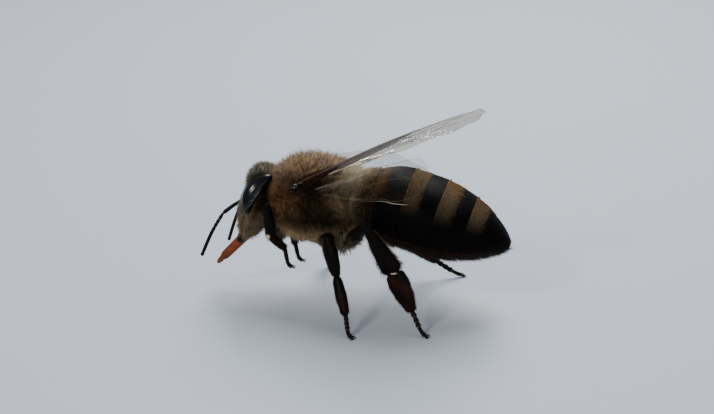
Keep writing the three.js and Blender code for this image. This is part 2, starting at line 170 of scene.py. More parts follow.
class Build:
    """Collects vertices, faces, UVs and tints of one piece."""

    def __init__(self):
        self.verts, self.tints, self.faces, self.uvs, self.count = [], [], [], [], 0

    def add(self, verts, faces, uvs=None, tint=None):
        verts = verts.reshape(-1, 3)
        self.verts.append(verts)
        tint = np.ones(3) if tint is None else np.asarray(tint, float)
        self.tints.append(np.broadcast_to(tint.reshape(-1, 3), verts.shape))
        for i, group in enumerate(faces):
            self.faces.append(group + self.count)
            self.uvs.append(np.zeros(group.shape + (2,)) if uvs is None else uvs[i])
        self.count += len(verts)

    def piece(self, name, material, replaces=(), slot="coat", keep_uv=False):
        mesh = bpy.data.meshes.new(name)
        verts = (np.vstack(self.verts) - SHIFT) * MM
        loops = np.concatenate([f.ravel() for f in self.faces])
        totals = np.concatenate([np.full(len(f), f.shape[1]) for f in self.faces])
        mesh.vertices.add(len(verts))
        mesh.vertices.foreach_set("co", verts.astype(np.float32).ravel())
        mesh.loops.add(len(loops))
        mesh.loops.foreach_set("vertex_index", loops.astype(np.int32))
        mesh.polygons.add(len(totals))
        mesh.polygons.foreach_set("loop_start", (np.cumsum(totals) - totals).astype(np.int32))
        mesh.polygons.foreach_set("loop_total", totals.astype(np.int32))
        mesh.polygons.foreach_set("use_smooth", np.ones(len(totals), bool))
        if keep_uv:
            layer = mesh.uv_layers.new(name="OFBake")
            uv = np.concatenate([u.reshape(-1, 2) for u in self.uvs])
            layer.data.foreach_set("uv", np.clip(uv, 0, 1).astype(np.float32).ravel())
        colours = np.ones((len(verts), 4), np.float32)
        colours[:, :3] = np.clip(np.vstack(self.tints), 0, 1)
        tint = mesh.attributes.new("tint", "FLOAT_COLOR", "POINT")
        tint.data.foreach_set("color", colours.ravel())
        mesh.update(calc_edges=True)
        mesh.materials.append(material)
        obj = bpy.data.objects.new(name, mesh)
        bpy.context.scene.collection.objects.link(obj)
        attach(obj, "root")
        if replaces:
            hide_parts(*replaces)

    def loft(self, rings, tint=None):
        """A closed skin over rings of points (rows, columns, 3), with a point at each end."""
        rows, cols, _ = rings.shape
        ends = np.stack([rings[0].mean(0), rings[-1].mean(0)])
        verts = np.vstack([rings.reshape(-1, 3), ends])
        r, c = np.meshgrid(np.arange(rows - 1), np.arange(cols), indexing="ij")
        n = (c + 1) % cols
        quads = np.stack([r * cols + c, (r + 1) * cols + c, (r + 1) * cols + n, r * cols + n], -1)
        quads = quads.reshape(-1, 4)
        k = np.arange(cols)
        m = (k + 1) % cols
        last = (rows - 1) * cols
        first_cap = np.stack([np.full(cols, rows * cols), k, m], -1)
        last_cap = np.stack([np.full(cols, rows * cols + 1), last + m, last + k], -1)
        caps = np.vstack([first_cap, last_cap])
        a, b, d = verts[quads[:, 0]], verts[quads[:, 1]], verts[quads[:, 3]]
        middle = verts[: rows * cols].mean(0)
        if (np.cross(b - a, d - a) * (a - middle)).sum() < 0:
            quads, caps = quads[:, ::-1], caps[:, ::-1]
        if tint is not None and np.ndim(tint) > 1:
            flat = tint.reshape(-1, 3)
            tint = np.vstack([flat, flat[:cols].mean(0), flat[-cols:].mean(0)])
        self.add(verts, [quads, caps], tint=tint)

    def spikes(self, root, control, tip, radius, uv, root_tint, tip_tint, rings):
        """Closed three-sided hairs that taper along a curve from root to tip."""
        n = len(root)
        way = unit(tip - root)
        other = np.where(np.abs(way[:, 2:]) < 0.9, [[0.0, 0.0, 1.0]], [[1.0, 0.0, 0.0]])
        a = unit(np.cross(way, other))
        b = np.cross(way, a)
        spin = RANDOM.uniform(0, 6.28, n)
        levels = np.arange(rings + 1) / (rings + 1)
        verts = np.empty((n, 3 * (rings + 1) + 1, 3))
        tints = np.empty_like(verts)
        spots = np.empty((n, 3 * (rings + 1) + 1, 2))
        for i, s in enumerate(levels):
            centre = root * (1 - s) ** 2 + control * 2 * s * (1 - s) + tip * s * s
            size = radius * (1 - 0.55 * s)
            for k in range(3):
                angle = (spin + k * THIRD_OF_TURN)[:, None]
                j = 3 * i + k
                verts[:, j] = centre + (a * np.cos(angle) + b * np.sin(angle)) * size[:, None]
                tints[:, j] = root_tint * (1 - s) + tip_tint * s
                spots[:, j] = uv + [(k - 1) * HAIR_ON_MAP[0], (s - 0.5) * HAIR_ON_MAP[1]]
        verts[:, -1] = tip
        tints[:, -1] = tip_tint
        spots[:, -1] = uv + [0, HAIR_ON_MAP[1] / 2]
        pattern = [[0, 2, 1]]
        for i in range(rings):
            for k in range(3):
                p, q = 3 * i + k, 3 * i + (k + 1) % 3
                pattern += [[p, q, q + 3], [p, q + 3, p + 3]]
        base = 3 * rings
        pattern += [[base + k, base + (k + 1) % 3, base + 3] for k in range(3)]
        pattern = np.array(pattern)
        per = 3 * (rings + 1) + 1
        faces = (pattern[None] + (np.arange(n) * per)[:, None, None]).reshape(-1, 3)
        self.add(verts, [faces], [spots.reshape(-1, 2)[faces]], tints.reshape(-1, 3))


def tube(build, points, radius, cols, rows, tint):
    """A round tube along points, whose radius is a function of its length's share."""
    skin = Surface(points, radius, lambda t, a: radius(t), side=(0.3, 0.2, 1))
    t = np.linspace(0, 1, rows)[:, None]
    build.loft(skin.point(t, turn_round(cols)[None]), tint)


def dome(build, centre, axes, tint, rows=14, cols=20):
    """An ellipsoid with three axis vectors, the first of them its pole."""
    t = np.linspace(0, math.pi, rows)[:, None, None]
    a = turn_round(cols)[None, :, None]
    p, q, r = (np.asarray(v, float) for v in axes)
    build.loft(np.asarray(centre) + np.cos(t) * p + np.sin(t) * (np.cos(a) * q + np.sin(a) * r), tint)


# ---------------------------------------------------------------- materials


class Look:
    """A Principled material, with short ways to drive it from nodes. Scales are per millimetre."""

    def __init__(self, name, **values):
        self.mat = bpy.data.materials.new(name)
        self.mat.use_nodes = True
        self.nodes = self.mat.node_tree.nodes
        self.links = self.mat.node_tree.links
        self.main = self.nodes["Principled BSDF"]
        for key, value in values.items():
            self.main.inputs[key.replace("_", " ")].default_value = value
        place = self.nodes.new("ShaderNodeTexCoord")
        self.place = self.scaled(place.outputs["Object"], (1000, 1000, 1000))

    def node(self, kind, **inputs):
        """A new node, with a value or a source for each of its inputs that is named."""
        node = self.nodes.new(kind)
        for key, value in inputs.items():
            if isinstance(value, bpy.types.NodeSocket):
                self.links.new(value, node.inputs[key])
            else:
                node.inputs[key].default_value = value
        return node

    def scaled(self, source, scale):
        return self.node("ShaderNodeMapping", Vector=source, Scale=scale).outputs["Vector"]

    def noise(self, scale, detail=4, rough=0.55, stretch=None):
        source = self.scaled(self.place, stretch) if stretch else self.place
        node = self.node("ShaderNodeTexNoise", Vector=source, Scale=scale, Detail=detail, Roughness=rough)
        return node.outputs["Fac"]

    def cells(self, scale):
        return self.node("ShaderNodeTexVoronoi", Vector=self.place, Scale=scale).outputs["Distance"]

    def ramp(self, source, *stops):
        node = self.node("ShaderNodeValToRGB", Fac=source)
        ramp = node.color_ramp
        while len(ramp.elements) < len(stops):
            ramp.elements.new(0.5)
        for element, (where, colour) in zip(ramp.elements, stops):
            element.position = where
            colour = (colour,) * 3 if isinstance(colour, (int, float)) else colour
            element.color = (*colour, 1)
        return node.outputs["Color"]

    def patchy(self, scale, low, high):
        """Soft patches of two shades or colours."""
        return self.ramp(self.noise(scale), (0.3, low), (0.7, high))

    def tinted(self, source):
        """A source multiplied by the tint of the piece's points."""
        tint = self.nodes.new("ShaderNodeAttribute")
        tint.attribute_name = "tint"
        node = self.nodes.new("ShaderNodeMix")
        node.data_type = "RGBA"
        node.blend_type = "MULTIPLY"
        node.inputs["Factor"].default_value = 1
        self.links.new(tint.outputs["Color"], node.inputs["A"])
        self.links.new(source, node.inputs["B"])
        return node.outputs["Result"]

    def set(self, name, source):
        self.links.new(source, self.main.inputs[name])

    def bump(self, height, distance, strength):
        node = self.node("ShaderNodeBump", Height=height, Distance=distance * MM, Strength=strength)
        self.set("Normal", node.outputs["Normal"])

    def lit_through(self, source, share):
        """Lets a share of the light through, in the source's colour."""
        glow = self.node("ShaderNodeBsdfTranslucent", Color=source)
        both = self.node("ShaderNodeMixShader", Fac=share)
        self.links.new(self.main.outputs["BSDF"], both.inputs[1])
        self.links.new(glow.outputs["BSDF"], both.inputs[2])
        self.links.new(both.outputs["Shader"], self.nodes["Material Output"].inputs["Surface"])


def hair_look(name, roughness, through):
    look = Look(name, Roughness=roughness, Specular_IOR_Level=0.25)
    colour = look.tinted(look.patchy(2.5, 0.78, 1.0))
    look.set("Base Color", colour)
    look.lit_through(colour, through)
    return look.mat


def plate_look(name, roughness, shine, grain=0.004):
    look = Look(name, Specular_IOR_Level=shine)
    look.set("Base Color", look.tinted(look.patchy(3.0, 0.7, 1.0)))
    look.set("Roughness", look.patchy(9.0, roughness * 0.8, min(1, roughness * 1.25)))
    look.bump(look.cells(28.0), grain, 0.6)
    return look.mat


def eye_look():
    look = Look("eye_facets", Specular_IOR_Level=0.3)
    # Black with faint purple patches, which are a painted sheen.
    deep = look.ramp(look.noise(1.2, 2), (0.4, (0.002, 0.0017, 0.0018)), (0.75, (0.006, 0.004, 0.009)))
    look.set("Base Color", deep)
    look.set("Roughness", look.patchy(4.0, 0.09, 0.14))
    look.bump(look.cells(26.0), 0.002, 0.25)
    return look.mat


def tongue_look():
    look = Look(
        "tongue_amber", Roughness=0.4, Specular_IOR_Level=0.25, Subsurface_Weight=0.25,
        Subsurface_Scale=0.15 * MM, Subsurface_Radius=(1.0, 0.35, 0.1),
    )
    look.set("Base Color", look.tinted(look.patchy(4.0, 0.65, 1.0)))
    look.bump(look.noise(12.0, 3, stretch=(0.4, 1, 0.4)), 0.01, 0.5)
    return look.mat


def membrane_look(name, colour, alpha, gloss, shine=0.7, through=0.0, crumple=0.06, film=380):
    """A wing's skin; film is the thickness of its rainbow layer in nanometres."""
    look = Look(name, Alpha=alpha, Specular_IOR_Level=shine, Thin_Film_Thickness=film, Thin_Film_IOR=1.5)
    shade = look.tinted(look.patchy(1.4, tuple(c * 0.8 for c in colour), colour))
    look.set("Base Color", shade)
    look.set("Roughness", look.patchy(6.0, gloss, gloss * 1.8))
    look.bump(look.noise(5.0, 6, 0.7), crumple, 0.8)
    if through:
        look.lit_through(shade, through)
    return look.mat


# ---------------------------------------------------------------- head, thorax and abdomen

# The head is rolled about its pivot, its right side lower.
HEAD_TURN = np.array(Matrix.Rotation(math.radians(-13), 3, "X"))
HEAD_PIVOT = np.array([-4.8, 0, 5.0])


def rolled(p):
    return (p - HEAD_PIVOT) @ HEAD_TURN.T + HEAD_PIVOT


def arc(t, fullest, front, rear):
    """A body's fullness along it: 1 at fullest, 0 at its ends, by the two powers of each half's curve."""
    t = np.asarray(t, float)
    early = t < fullest
    reach = np.clip(np.where(early, (fullest - t) / fullest, (t - fullest) / (1 - fullest)), 0, 1)
    a = np.where(early, front[0], rear[0])
    b = np.where(early, front[1], rear[1])
    return np.maximum(0, 1 - reach**a) ** (1 / b)


def thorax_dent(t, a):
    """The plates of the thorax: a rounded scutum, the ridge of the scutellum and the waist-ward slope."""
    top = smooth(0.1, 0.7, np.sin(a))
    scutellum = 0.05 * top * hump(t, 0.8, 0.07)
    seam = -0.05 * top * hump(t, 0.68, 0.025)
    neck = -0.05 * hump(t, 0.12, 0.06)
    return scutellum + seam + neck


def face_dent(t, a):
    """The shield of the face swells between the mouth and the sockets of the feelers."""
    front = smooth(0.3, 0.95, -np.sin(a))
    shield = hump(t, 0.68, 0.14) * hump(np.cos(a), 0, 0.42)
    sockets = hump(t, 0.44, 0.06) * hump(np.abs(np.cos(a)), 0.22, 0.1)
    return front * (0.1 * shield - 0.1 * sockets)


def round_body(points, up, down, side, fullest, front, rear, dent, square=0.92, turn=None):
    """A body round an axis, with its half heights above and below it and its half width."""
    full = lambda t: arc(t, fullest, front, rear)
    height = lambda t, a: np.where(np.sin(a) > 0, up, down) * full(t)
    return Surface(points, lambda t: side * full(t), height, (0, 1, 0), square, dent, turn)


thorax = round_body(
    [[-3.98, 0, 4.95], [-2.05, 0, 5.0], [-0.1, 0, 4.95]],
    1.68, 1.62, 1.8, 0.5, (2.3, 2.3), (2.3, 2.3), thorax_dent,
)
head = round_body(
    [[-4.4, 0, 6.26], [-4.68, 0, 4.9], [-5.24, 0, 3.05]],
    0.66, 0.42, 1.66, 0.38, (2.6, 2.6), (2.05, 1.35), face_dent, 0.75, rolled,
)
ABDOMEN_AXIS = [[-0.12, 0, 5.3], [2.1, 0, 4.92], [4.6, 0, 4.22], [7.2, 0, 3.375]]
BAND_WIDTHS = [0.095, 0.105, 0.1]  # of the tan bands on rings 3 to 5, as shares of the abdomen
RING_ENDS = [0.0, 0.12, 0.317, 0.513, 0.705, 0.84, 0.985]  # where the six rings start and end
LEAST = 0.004  # mm, the least half width of a body


def coat_depth(t):
    """How far the abdomen's shell lies under the tips of its hair."""
    return 0.05 + 0.3 * (1 - smooth(0.05, 0.26, t))


def swell(t, start, end, least):
    """A ring swells by 3% to its rear edge, where the next one slides out from under it."""
    return 0.97 + 0.03 * np.clip((t - start) / (end - start), least, 1)


def abdomen_ring(t):
    """The swelling of whichever ring t is on."""
    t = np.asarray(t, float)
    step = np.clip(np.searchsorted(RING_ENDS, t, side="right") - 1, 0, 5)
    start, end = np.take(RING_ENDS, step), np.take(RING_ENDS, step + 1)
    return swell(t, start, end, 0)


def abdomen_full(t):
    return arc(t, 0.43, (3.5, 3.5), (2, 1.4))


def belly_plate(t, a):
    """The belly plates sit just inside the edges of the back plates."""
    return -0.035 * smooth(0.42, 0.5, -np.sin(a))


def abdomen_skin(flare=abdomen_ring):
    half = lambda t, size: np.maximum(LEAST, size * abdomen_full(t) * flare(t) - coat_depth(t))
    height = lambda t, a: half(t, np.where(np.sin(a) > 0, 1.82, 1.86))
    return Surface(ABDOMEN_AXIS, lambda t: half(t, 2.22), height, (0, 1, 0), 0.92, belly_plate)


abdomen = abdomen_skin()

# Tints, as linear colour.
BLACK = np.array([0.0025, 0.0018, 0.0017])
DEEP_BROWN = np.array([0.030, 0.016, 0.009])
WARM_BROWN = np.array([0.17, 0.08, 0.028])
CHESTNUT = np.array([0.42, 0.20, 0.085])
MAROON = np.array([0.10, 0.03, 0.018])
GOLD = np.array([0.72, 0.41, 0.14])
TAN = np.array([0.60, 0.45, 0.26])
PALE = np.array([0.80, 0.68, 0.48])
OLIVE = np.array([0.15, 0.10, 0.045])
SILVER = np.array([0.80, 0.74, 0.64])
AMBER = np.array([0.26, 0.05, 0.009])
MAUVE = np.array([0.265, 0.22, 0.20])
CREAM = np.array([0.95, 0.86, 0.72])
WHITE = np.array([1.0, 0.98, 0.94])
BEIGE = np.array([0.50, 0.445, 0.36])
SMOKE = np.array([0.10, 0.08, 0.06])


def thorax_marks_and_shade(p):
    """The thorax's hair colour at the root and at the tip, for points on it."""
    x, y, z = p.T
    height = (z - 5.0) / 1.7
    along = (x + 2.05) / 1.9
    blotch = (0.5 + 0.5 * waves(p, 1.1, 3))[:, None]
    top = smooth(0.45, 0.95, height)
    low = smooth(-0.2, -0.65, height)
    collar = smooth(0.1, -0.5, along) * smooth(-0.35, 0.1, height)
    # The rump's pale hair fades down the side, a painted shade.
    rump = smooth(0.42, 0.76, along) * smooth(-0.45, 0.2, height)
    root = mix(DEEP_BROWN * 1.4, WARM_BROWN * 1.2, np.maximum(top, collar * 0.8))
    root = mix(root, TAN * 0.5, rump)
    root = mix(root, TAN * 0.8, low)
    tip = mix(mix(OLIVE * (0.75 + 1.3 * blotch), CHESTNUT * 0.5, 0.3), GOLD * 0.85, top)
    tip = mix(tip, CHESTNUT * 1.05, collar * (1 - top))
    tip = mix(tip, mix(TAN, GOLD, 0.45) * 1.35, low)
    tip = mix(tip, mix(mix(TAN, GOLD, 0.35) * 1.15, PALE, top), rump)
    wing_root = hump(z - 6.1 - 0.35 * (x + 1.9), 0, 0.26)
    wing_root = wing_root * smooth(-3.0, -2.4, x) * (1 - smooth(-1.0, -0.6, x))
    # flank, hollow and pit are painted shade: on the mid side, behind the tegula and low before the hind
    # legs.
    flank = hump(x, -1.7, 0.9) * hump(z, 5.0, 0.5)
    hollow = hump(x, -1.85, 0.65) * hump(z, 6.05, 0.38)
    pit_shade = hump(x, -0.95, 0.6) * hump(z, 4.55, 0.38)
    # Each dark patch of the side, with the colour and strength it gives the roots and the tips.
    patches = (
        (wing_root, DEEP_BROWN, 1.0, MAROON, 0.9),
        (flank, BLACK, 0.8, DEEP_BROWN, 0.6),
        (hollow, BLACK, 1.0, DEEP_BROWN, 0.9),
        (pit_shade, BLACK, 1.0, DEEP_BROWN, 0.85),
    )
    for patch, root_colour, root_share, tip_colour, tip_share in patches:
        patch = patch * smooth(1.0, 1.4, np.abs(y))
        root = mix(root, root_colour, patch * root_share)
        tip = mix(tip, tip_colour, patch * tip_share)
    return root, tip * (0.85 + 0.3 * blotch)


def band_cover(t, a):
    """How much of the felted tan band covers the front of the third, fourth and fifth rings."""
    cover = 0
    for start, wide in zip(RING_ENDS[2:5], BAND_WIDTHS):
        run = (t - start) / wide
        cover = cover + smooth(0.0, 0.06, run) * (1 - smooth(0.5, 1.05, run))
    return cover * smooth(-0.15, 0.55, np.sin(a))


def abdomen_marks_and_shade(t, a):
    """The colour of the abdomen's shell, with painted shade towards the belly."""
    t, a = np.broadcast_arrays(t, a)
    back = smooth(0.4, 0.95, np.sin(a))
    first = 1 - smooth(0.1, 0.16, t)
    second = smooth(0.1, 0.14, t) * (1 - smooth(0.15, 0.22, t))
    shade = mix(BLACK, WARM_BROWN * 0.7, second * back)
    shade = mix(shade, DEEP_BROWN * 0.6, first)
    # The tan skin under the bands fades towards the belly, a painted shade.
    return mix(shade, TAN * 0.22, band_cover(t, a) * smooth(0.2, 0.9, np.sin(a)) * 0.85)


def body_rings(rows, cols):
    """Shares and angles of a skin's rings, which stand closer together towards its ends."""
    t = (1 - np.cos(np.linspace(0, math.pi, rows))) / 2
    return t[:, None], turn_round(cols)[None]


# ---------------------------------------------------------------- legs, feelers, tongue

# Each leg's points in mm: where its hip, thigh, shin, heel joint and foot start, then the foot's bend
# and its tip.
LEGS = {
    "front_left": [
        [-3.3, -0.5, 3.9], [-3.76, -1.1, 3.34], [-3.8, -1.82, 5.15], [-3.64, -1.72, 3.6],
        [-3.05, -1.55, 3.06], [-2.87, -1.42, 2.16], [-2.62, -1.38, 2.08],
    ],
    "front_right": [
        [-3.3, 0.5, 3.9], [-3.7, 1.1, 3.4], [-3.84, 1.95, 4.5], [-3.42, 1.4, 3.08],
        [-3.2, 0.98, 2.3], [-2.96, 0.92, 1.56], [-2.72, 0.92, 1.5],
    ],
    "middle_left": [
        [-1.8, -0.5, 3.7], [-1.2, -1.08, 3.45], [-0.82, -2.55, 4.1], [-0.33, -2.88, 2.4],
        [0.27, -3.72, 0.95], [0.5, -4.04, 0.13], [0.76, -4.24, 0.1],
    ],
    "middle_right": [
        [-1.85, 0.5, 3.7], [-1.75, 1.1, 3.0], [-1.75, 2.6, 4.05], [-2.05, 3.1, 2.15],
        [-2.34, 3.72, 0.88], [-2.14, 4.0, 0.13], [-1.9, 4.16, 0.1],
    ],
    "hind_left": [
        [-0.8, -0.55, 3.9], [-0.2, -1.2, 3.3], [0.92, -2.62, 4.85], [2.22, -2.55, 2.7],
        [3.14, -2.96, 1.08], [3.72, -3.26, 0.13], [4.02, -3.4, 0.1],
    ],
    "hind_right": [
        [-0.8, 0.55, 3.9], [-0.2, 1.2, 3.3], [0.7, 3.0, 3.7], [2.15, 2.62, 2.3],
        [3.2, 3.35, 1.0], [4.3, 4.0, 0.13], [4.6, 4.18, 0.1],
    ],
}
LEG_AXIS = (1, 0, 0.35)  # the way the width of a leg's segments runs

# Profiles run over a segment's length as (share, half width, half thickness).
LEG_PROFILES = {
    "front": {
        "hip": [(0, 0.3, 0.26), (0.5, 0.34, 0.3), (0.85, 0.24, 0.22), (1, 0.16, 0.15)],
        "thigh": [
            (0, 0.12, 0.12), (0.15, 0.17, 0.16), (0.45, 0.22, 0.2),
            (0.85, 0.18, 0.16), (1, 0.13, 0.12),
        ],
        "shin": [
            (0, 0.11, 0.11), (0.12, 0.17, 0.15), (0.6, 0.235, 0.19),
            (0.92, 0.23, 0.19), (1, 0.15, 0.13),
        ],
        "heel": [(0, 0.1, 0.1), (0.15, 0.17, 0.14), (0.6, 0.19, 0.15), (0.93, 0.16, 0.13), (1, 0.09, 0.08)],
    },
    "middle": {
        "hip": [(0, 0.28, 0.26), (0.5, 0.3, 0.28), (0.85, 0.23, 0.21), (1, 0.16, 0.15)],
        "thigh": [
            (0, 0.13, 0.13), (0.15, 0.24, 0.2), (0.45, 0.33, 0.26),
            (0.85, 0.23, 0.19), (1, 0.15, 0.14),
        ],
        "shin": [(0, 0.14, 0.12), (0.1, 0.24, 0.18), (0.4, 0.34, 0.24), (0.75, 0.28, 0.2), (1, 0.16, 0.13)],
        "heel": [(0, 0.11, 0.1), (0.12, 0.22, 0.15), (0.5, 0.27, 0.17), (0.92, 0.2, 0.14), (1, 0.1, 0.09)],
    },
    "hind": {
        "hip": [(0, 0.34, 0.3), (0.5, 0.36, 0.33), (0.85, 0.28, 0.25), (1, 0.19, 0.17)],
        "thigh": [
            (0, 0.15, 0.14), (0.15, 0.26, 0.22), (0.45, 0.36, 0.29),
            (0.85, 0.25, 0.21), (1, 0.16, 0.15),
        ],
        "shin": [(0, 0.14, 0.12), (0.1, 0.19, 0.15), (0.5, 0.38, 0.18), (0.9, 0.5, 0.2), (1, 0.34, 0.13)],
        "heel": [
            (0, 0.2, 0.1), (0.08, 0.45, 0.15), (0.3, 0.5, 0.16),
            (0.6, 0.42, 0.15), (0.85, 0.29, 0.12), (1, 0.17, 0.1),
        ],
    },
}


def profile(rows):
    """A segment's half width and half thickness over its length, softened between the given rows."""
    share, wide, deep = (np.array(column) for column in zip(*rows))
    fine = np.linspace(0, 1, 200)
    kernel = np.hanning(23)
    kernel /= kernel.sum()

    def softened(values):
        padded = np.pad(np.interp(fine, share, values), 11, mode="edge")
        curve = np.convolve(padded, kernel, mode="valid")
        return lambda t, a=None: np.interp(t, fine, curve) * blunt(np.clip(t, 0, 1), 24) + 0.002

    return softened(wide), softened(deep)


FOOT_CUTS = (0.0, 0.19, 0.36, 0.5, 0.84)  # where the four small foot joints meet, as shares of the foot


def foot_parts(path):
    """Three points along each of the small foot joints."""
    for start, end in zip(FOOT_CUTS, FOOT_CUTS[1:]):
        yield path.at([start, (start + end) / 2, end])


# Where hairs are rooted: share of the surface's spine and angle round it, points, outward normals, and
# the direction of growing t.
Roots = namedtuple("Roots", "t a p n along")


def chosen_roots(roots, chosen):
    return Roots(*(values[chosen] for values in roots))


def grow(surface, count, weight=None, t_range=(0.02, 0.98), grid=(120, 180)):
    """Roots spread evenly over a surface, or by weight(t, a, p, n)."""
    t_edges = np.linspace(*t_range, grid[0] + 1)
    a_edges = np.linspace(0, 2 * math.pi, grid[1] + 1)
    t_middle = ((t_edges[:-1] + t_edges[1:]) / 2)[:, None]
    a_middle = ((a_edges[:-1] + a_edges[1:]) / 2)[None]
    t_middle, a_middle = np.broadcast_arrays(t_middle, a_middle)
    e = 1e-3
    du = (surface.point(t_middle + e, a_middle) - surface.point(t_middle - e, a_middle)) / (2 * e)
    dv = (surface.point(t_middle, a_middle + e) - surface.point(t_middle, a_middle - e)) / (2 * e)
    area = np.linalg.norm(np.cross(du, dv), axis=-1)
    if weight is not None:
        p, n, _ = surface.frame(t_middle, a_middle)
        area = area * np.maximum(0, weight(t_middle, a_middle, p, n))
    pick = RANDOM.choice(area.size, size=count, p=area.ravel() / area.sum())
    t = t_middle.ravel()[pick] + RANDOM.uniform(-0.5, 0.5, count) * (t_edges[1] - t_edges[0])
    a = a_middle.ravel()[pick] + RANDOM.uniform(-0.5, 0.5, count) * (a_edges[1] - a_edges[0])
    return Roots(t, a, *surface.frame(t, a))


def gather(root, tip, spacing, share):
    """Draws the tips of neighbouring hairs together in tufts, and says which tuft each belongs to."""
    number = max(1, int(len(root) / spacing))
    chosen = RANDOM.choice(len(root), size=number, replace=False)
    tree = KDTree(number)
    for i, j in enumerate(chosen):
        tree.insert(root[j], i)
    tree.balance()
    tuft = np.array([tree.find(p)[1] for p in root])
    nearest = chosen[tuft]
    target = root[nearest] + (tip - root)[nearest] * 1.04
    share = share * RANDOM.uniform(0.35, 1.0, len(root))
    return tip + (target - tip) * share[:, None], tuft


def thatch(
    build, roots, lie, length, radius, tints,
    lift=0.8, curl=0.2, mess=0.25, tuft=None, rings=1, box=(0, 0, 1, 1),
):
    """Hairs from grown roots, with tints at the root and at the tip. lie is the way they are swept, lift
    how far they stand off the skin, tuft the number of hairs in a tuft and how far they are drawn
    together, rings how often they bend, and box their place on the piece's map."""
    count = len(roots.p)
    noise = RANDOM.normal(size=(count, 3)) * mess
    way = unit(roots.n * np.asarray(lift).reshape(-1, 1) + lie + noise)
    long = (np.asarray(length) * RANDOM.uniform(0.65, 1.15, count))[:, None]
    root = roots.p - roots.n * 0.02
    tip = root + way * long + (lie * curl) * long
    shade = RANDOM.uniform(0.85, 1.15, count)
    if tuft:
        tip, mates = gather(root, tip, *tuft)
        shade = shade * RANDOM.uniform(0.55, 1.35, mates.max() + 1)[mates]
    tip[:, 2] = np.maximum(tip[:, 2], 0.01)
    control = root + way * (long * 0.5)
    x0, y0, x1, y1 = box
    uv = np.stack([x0 + (x1 - x0) * ((roots.a / (2 * math.pi)) % 1), y0 + (y1 - y0) * roots.t], -1)
    size = radius * RANDOM.uniform(0.75, 1.2, count)
    root_tint, tip_tint = (tint * shade[:, None] for tint in tints)
    build.spikes(root, control, tip, size, uv, root_tint, tip_tint, rings)


def coat(name, look, *hairs, **manner):
    """A coat piece of one thatch of hairs."""
    build = Build()
    thatch(build, *hairs, **manner)
    build.piece(name, look, keep_uv=True)


# ---------------------------------------------------------------- shells

shell = plate_look("dark_shell", 0.45, 0.028)
thorax_shell = plate_look("thorax_shell", 0.6, 0.15, 0.01)
tegula_shell = plate_look("tegula_shell", 0.09, 0.4, 0.002)
leg_shell = plate_look("leg_shell", 0.4, 0.07, 0.004)
hair = hair_look("coat_hair", 0.6, 0.4)
fine_hair = hair_look("fine_hair", 0.55, 0.45)
eye = eye_look()

build = Build()
t, a = body_rings(70, 110)
points = thorax.point(t, a)
marks, _ = thorax_marks_and_shade(points.reshape(-1, 3))
build.loft(points, (marks * 0.35).reshape(points.shape))
waist = [[-0.7, 0, 4.9], [0.1, 0, 5.05], [0.5, 0, 5.15]]
tube(build, waist, lambda t: 0.45 - 0.12 * np.sin(np.pi * t), 20, 16, DEEP_BROWN)
build.piece("thorax_shell", thorax_shell, ["thorax", "waist"])

for side, y in SIDES:
    build = Build()
    axes = [[0, 0.17 * y, 0.05], [0.24, 0, 0.06], [-0.04, -0.04, 0.18]]
    dome(build, [-2.5, 1.76 * y, 6.1], axes, BLACK)
    build.piece(f"tegula_{side}", tegula_shell, slot="plate")

build = Build()
build.loft(head.point(*body_rings(70, 110)), mix(DEEP_BROWN, OLIVE, 0.5))
build.piece("head_shell", thorax_shell, ["head"])

# The right eye before the head is rolled, with its half length, width and depth in mm.
EYE = {"centre": [-4.42, 1.405, 5.26], "along": [0.52, -0.2, 0.86], "across": [-0.4, 1, 0.05]}
EYE_HALF = [1.04, 0.38, 0.45]
EYE_BEND = 0.28  # mm, how far its middle is bent towards the face, so that it is kidney-shaped


def eye_axes(y):
    """The centre of the eye on side y, and its axes: up along it, towards the face, and outward."""
    flip = np.array([1, y, 1])
    along = unit(np.array(EYE["along"]) * flip)
    across = np.array(EYE["across"]) * flip
    across = unit(across - along * (across @ along))
    front = np.cross(along, across) * y
    return np.array(EYE["centre"]) * flip, along, front, across


def eye_middle(pole, y):
    """The bent middle line of the eye on side y, at angles from its upper pole."""
    centre, along, front, _ = eye_axes(y)
    return centre + np.cos(pole) * along * EYE_HALF[0] + front * EYE_BEND * (np.sin(pole) ** 2 - 0.5)


def in_eye(p, grown):
    """True for points inside either eye, grown by a factor."""
    inside = np.zeros(len(p), bool)
    unrolled = (p - HEAD_PIVOT) @ HEAD_TURN + HEAD_PIVOT
    for y in (-1, 1):
        centre, along, front, across = eye_axes(y)
        off = unrolled - centre
        u = off @ along / (EYE_HALF[0] * grown)
        v = (off @ front - EYE_BEND * (0.5 - np.minimum(1, u**2))) / (EYE_HALF[1] * grown)
        w = off @ across / (EYE_HALF[2] * grown)
        inside |= u**2 + v**2 + w**2 < 1
    return inside


for side, y in SIDES:
    build = Build()
    _, _, front, across = eye_axes(y)
    pole = np.linspace(0, math.pi, 48)[:, None, None]
    turn = turn_round(56)[None, :, None]
    rim = np.cos(turn) * front * EYE_HALF[1] + np.sin(turn) * across * EYE_HALF[2]
    build.loft(rolled(eye_middle(pole, y) + np.sin(pole) ** 0.92 * rim))
    build.piece(f"eye_shell_{side}", eye, [f"eye_{side}"], "eye")

RING_TUCK = 0.035  # how far a ring's front reaches under the ring before, as a share of the abdomen
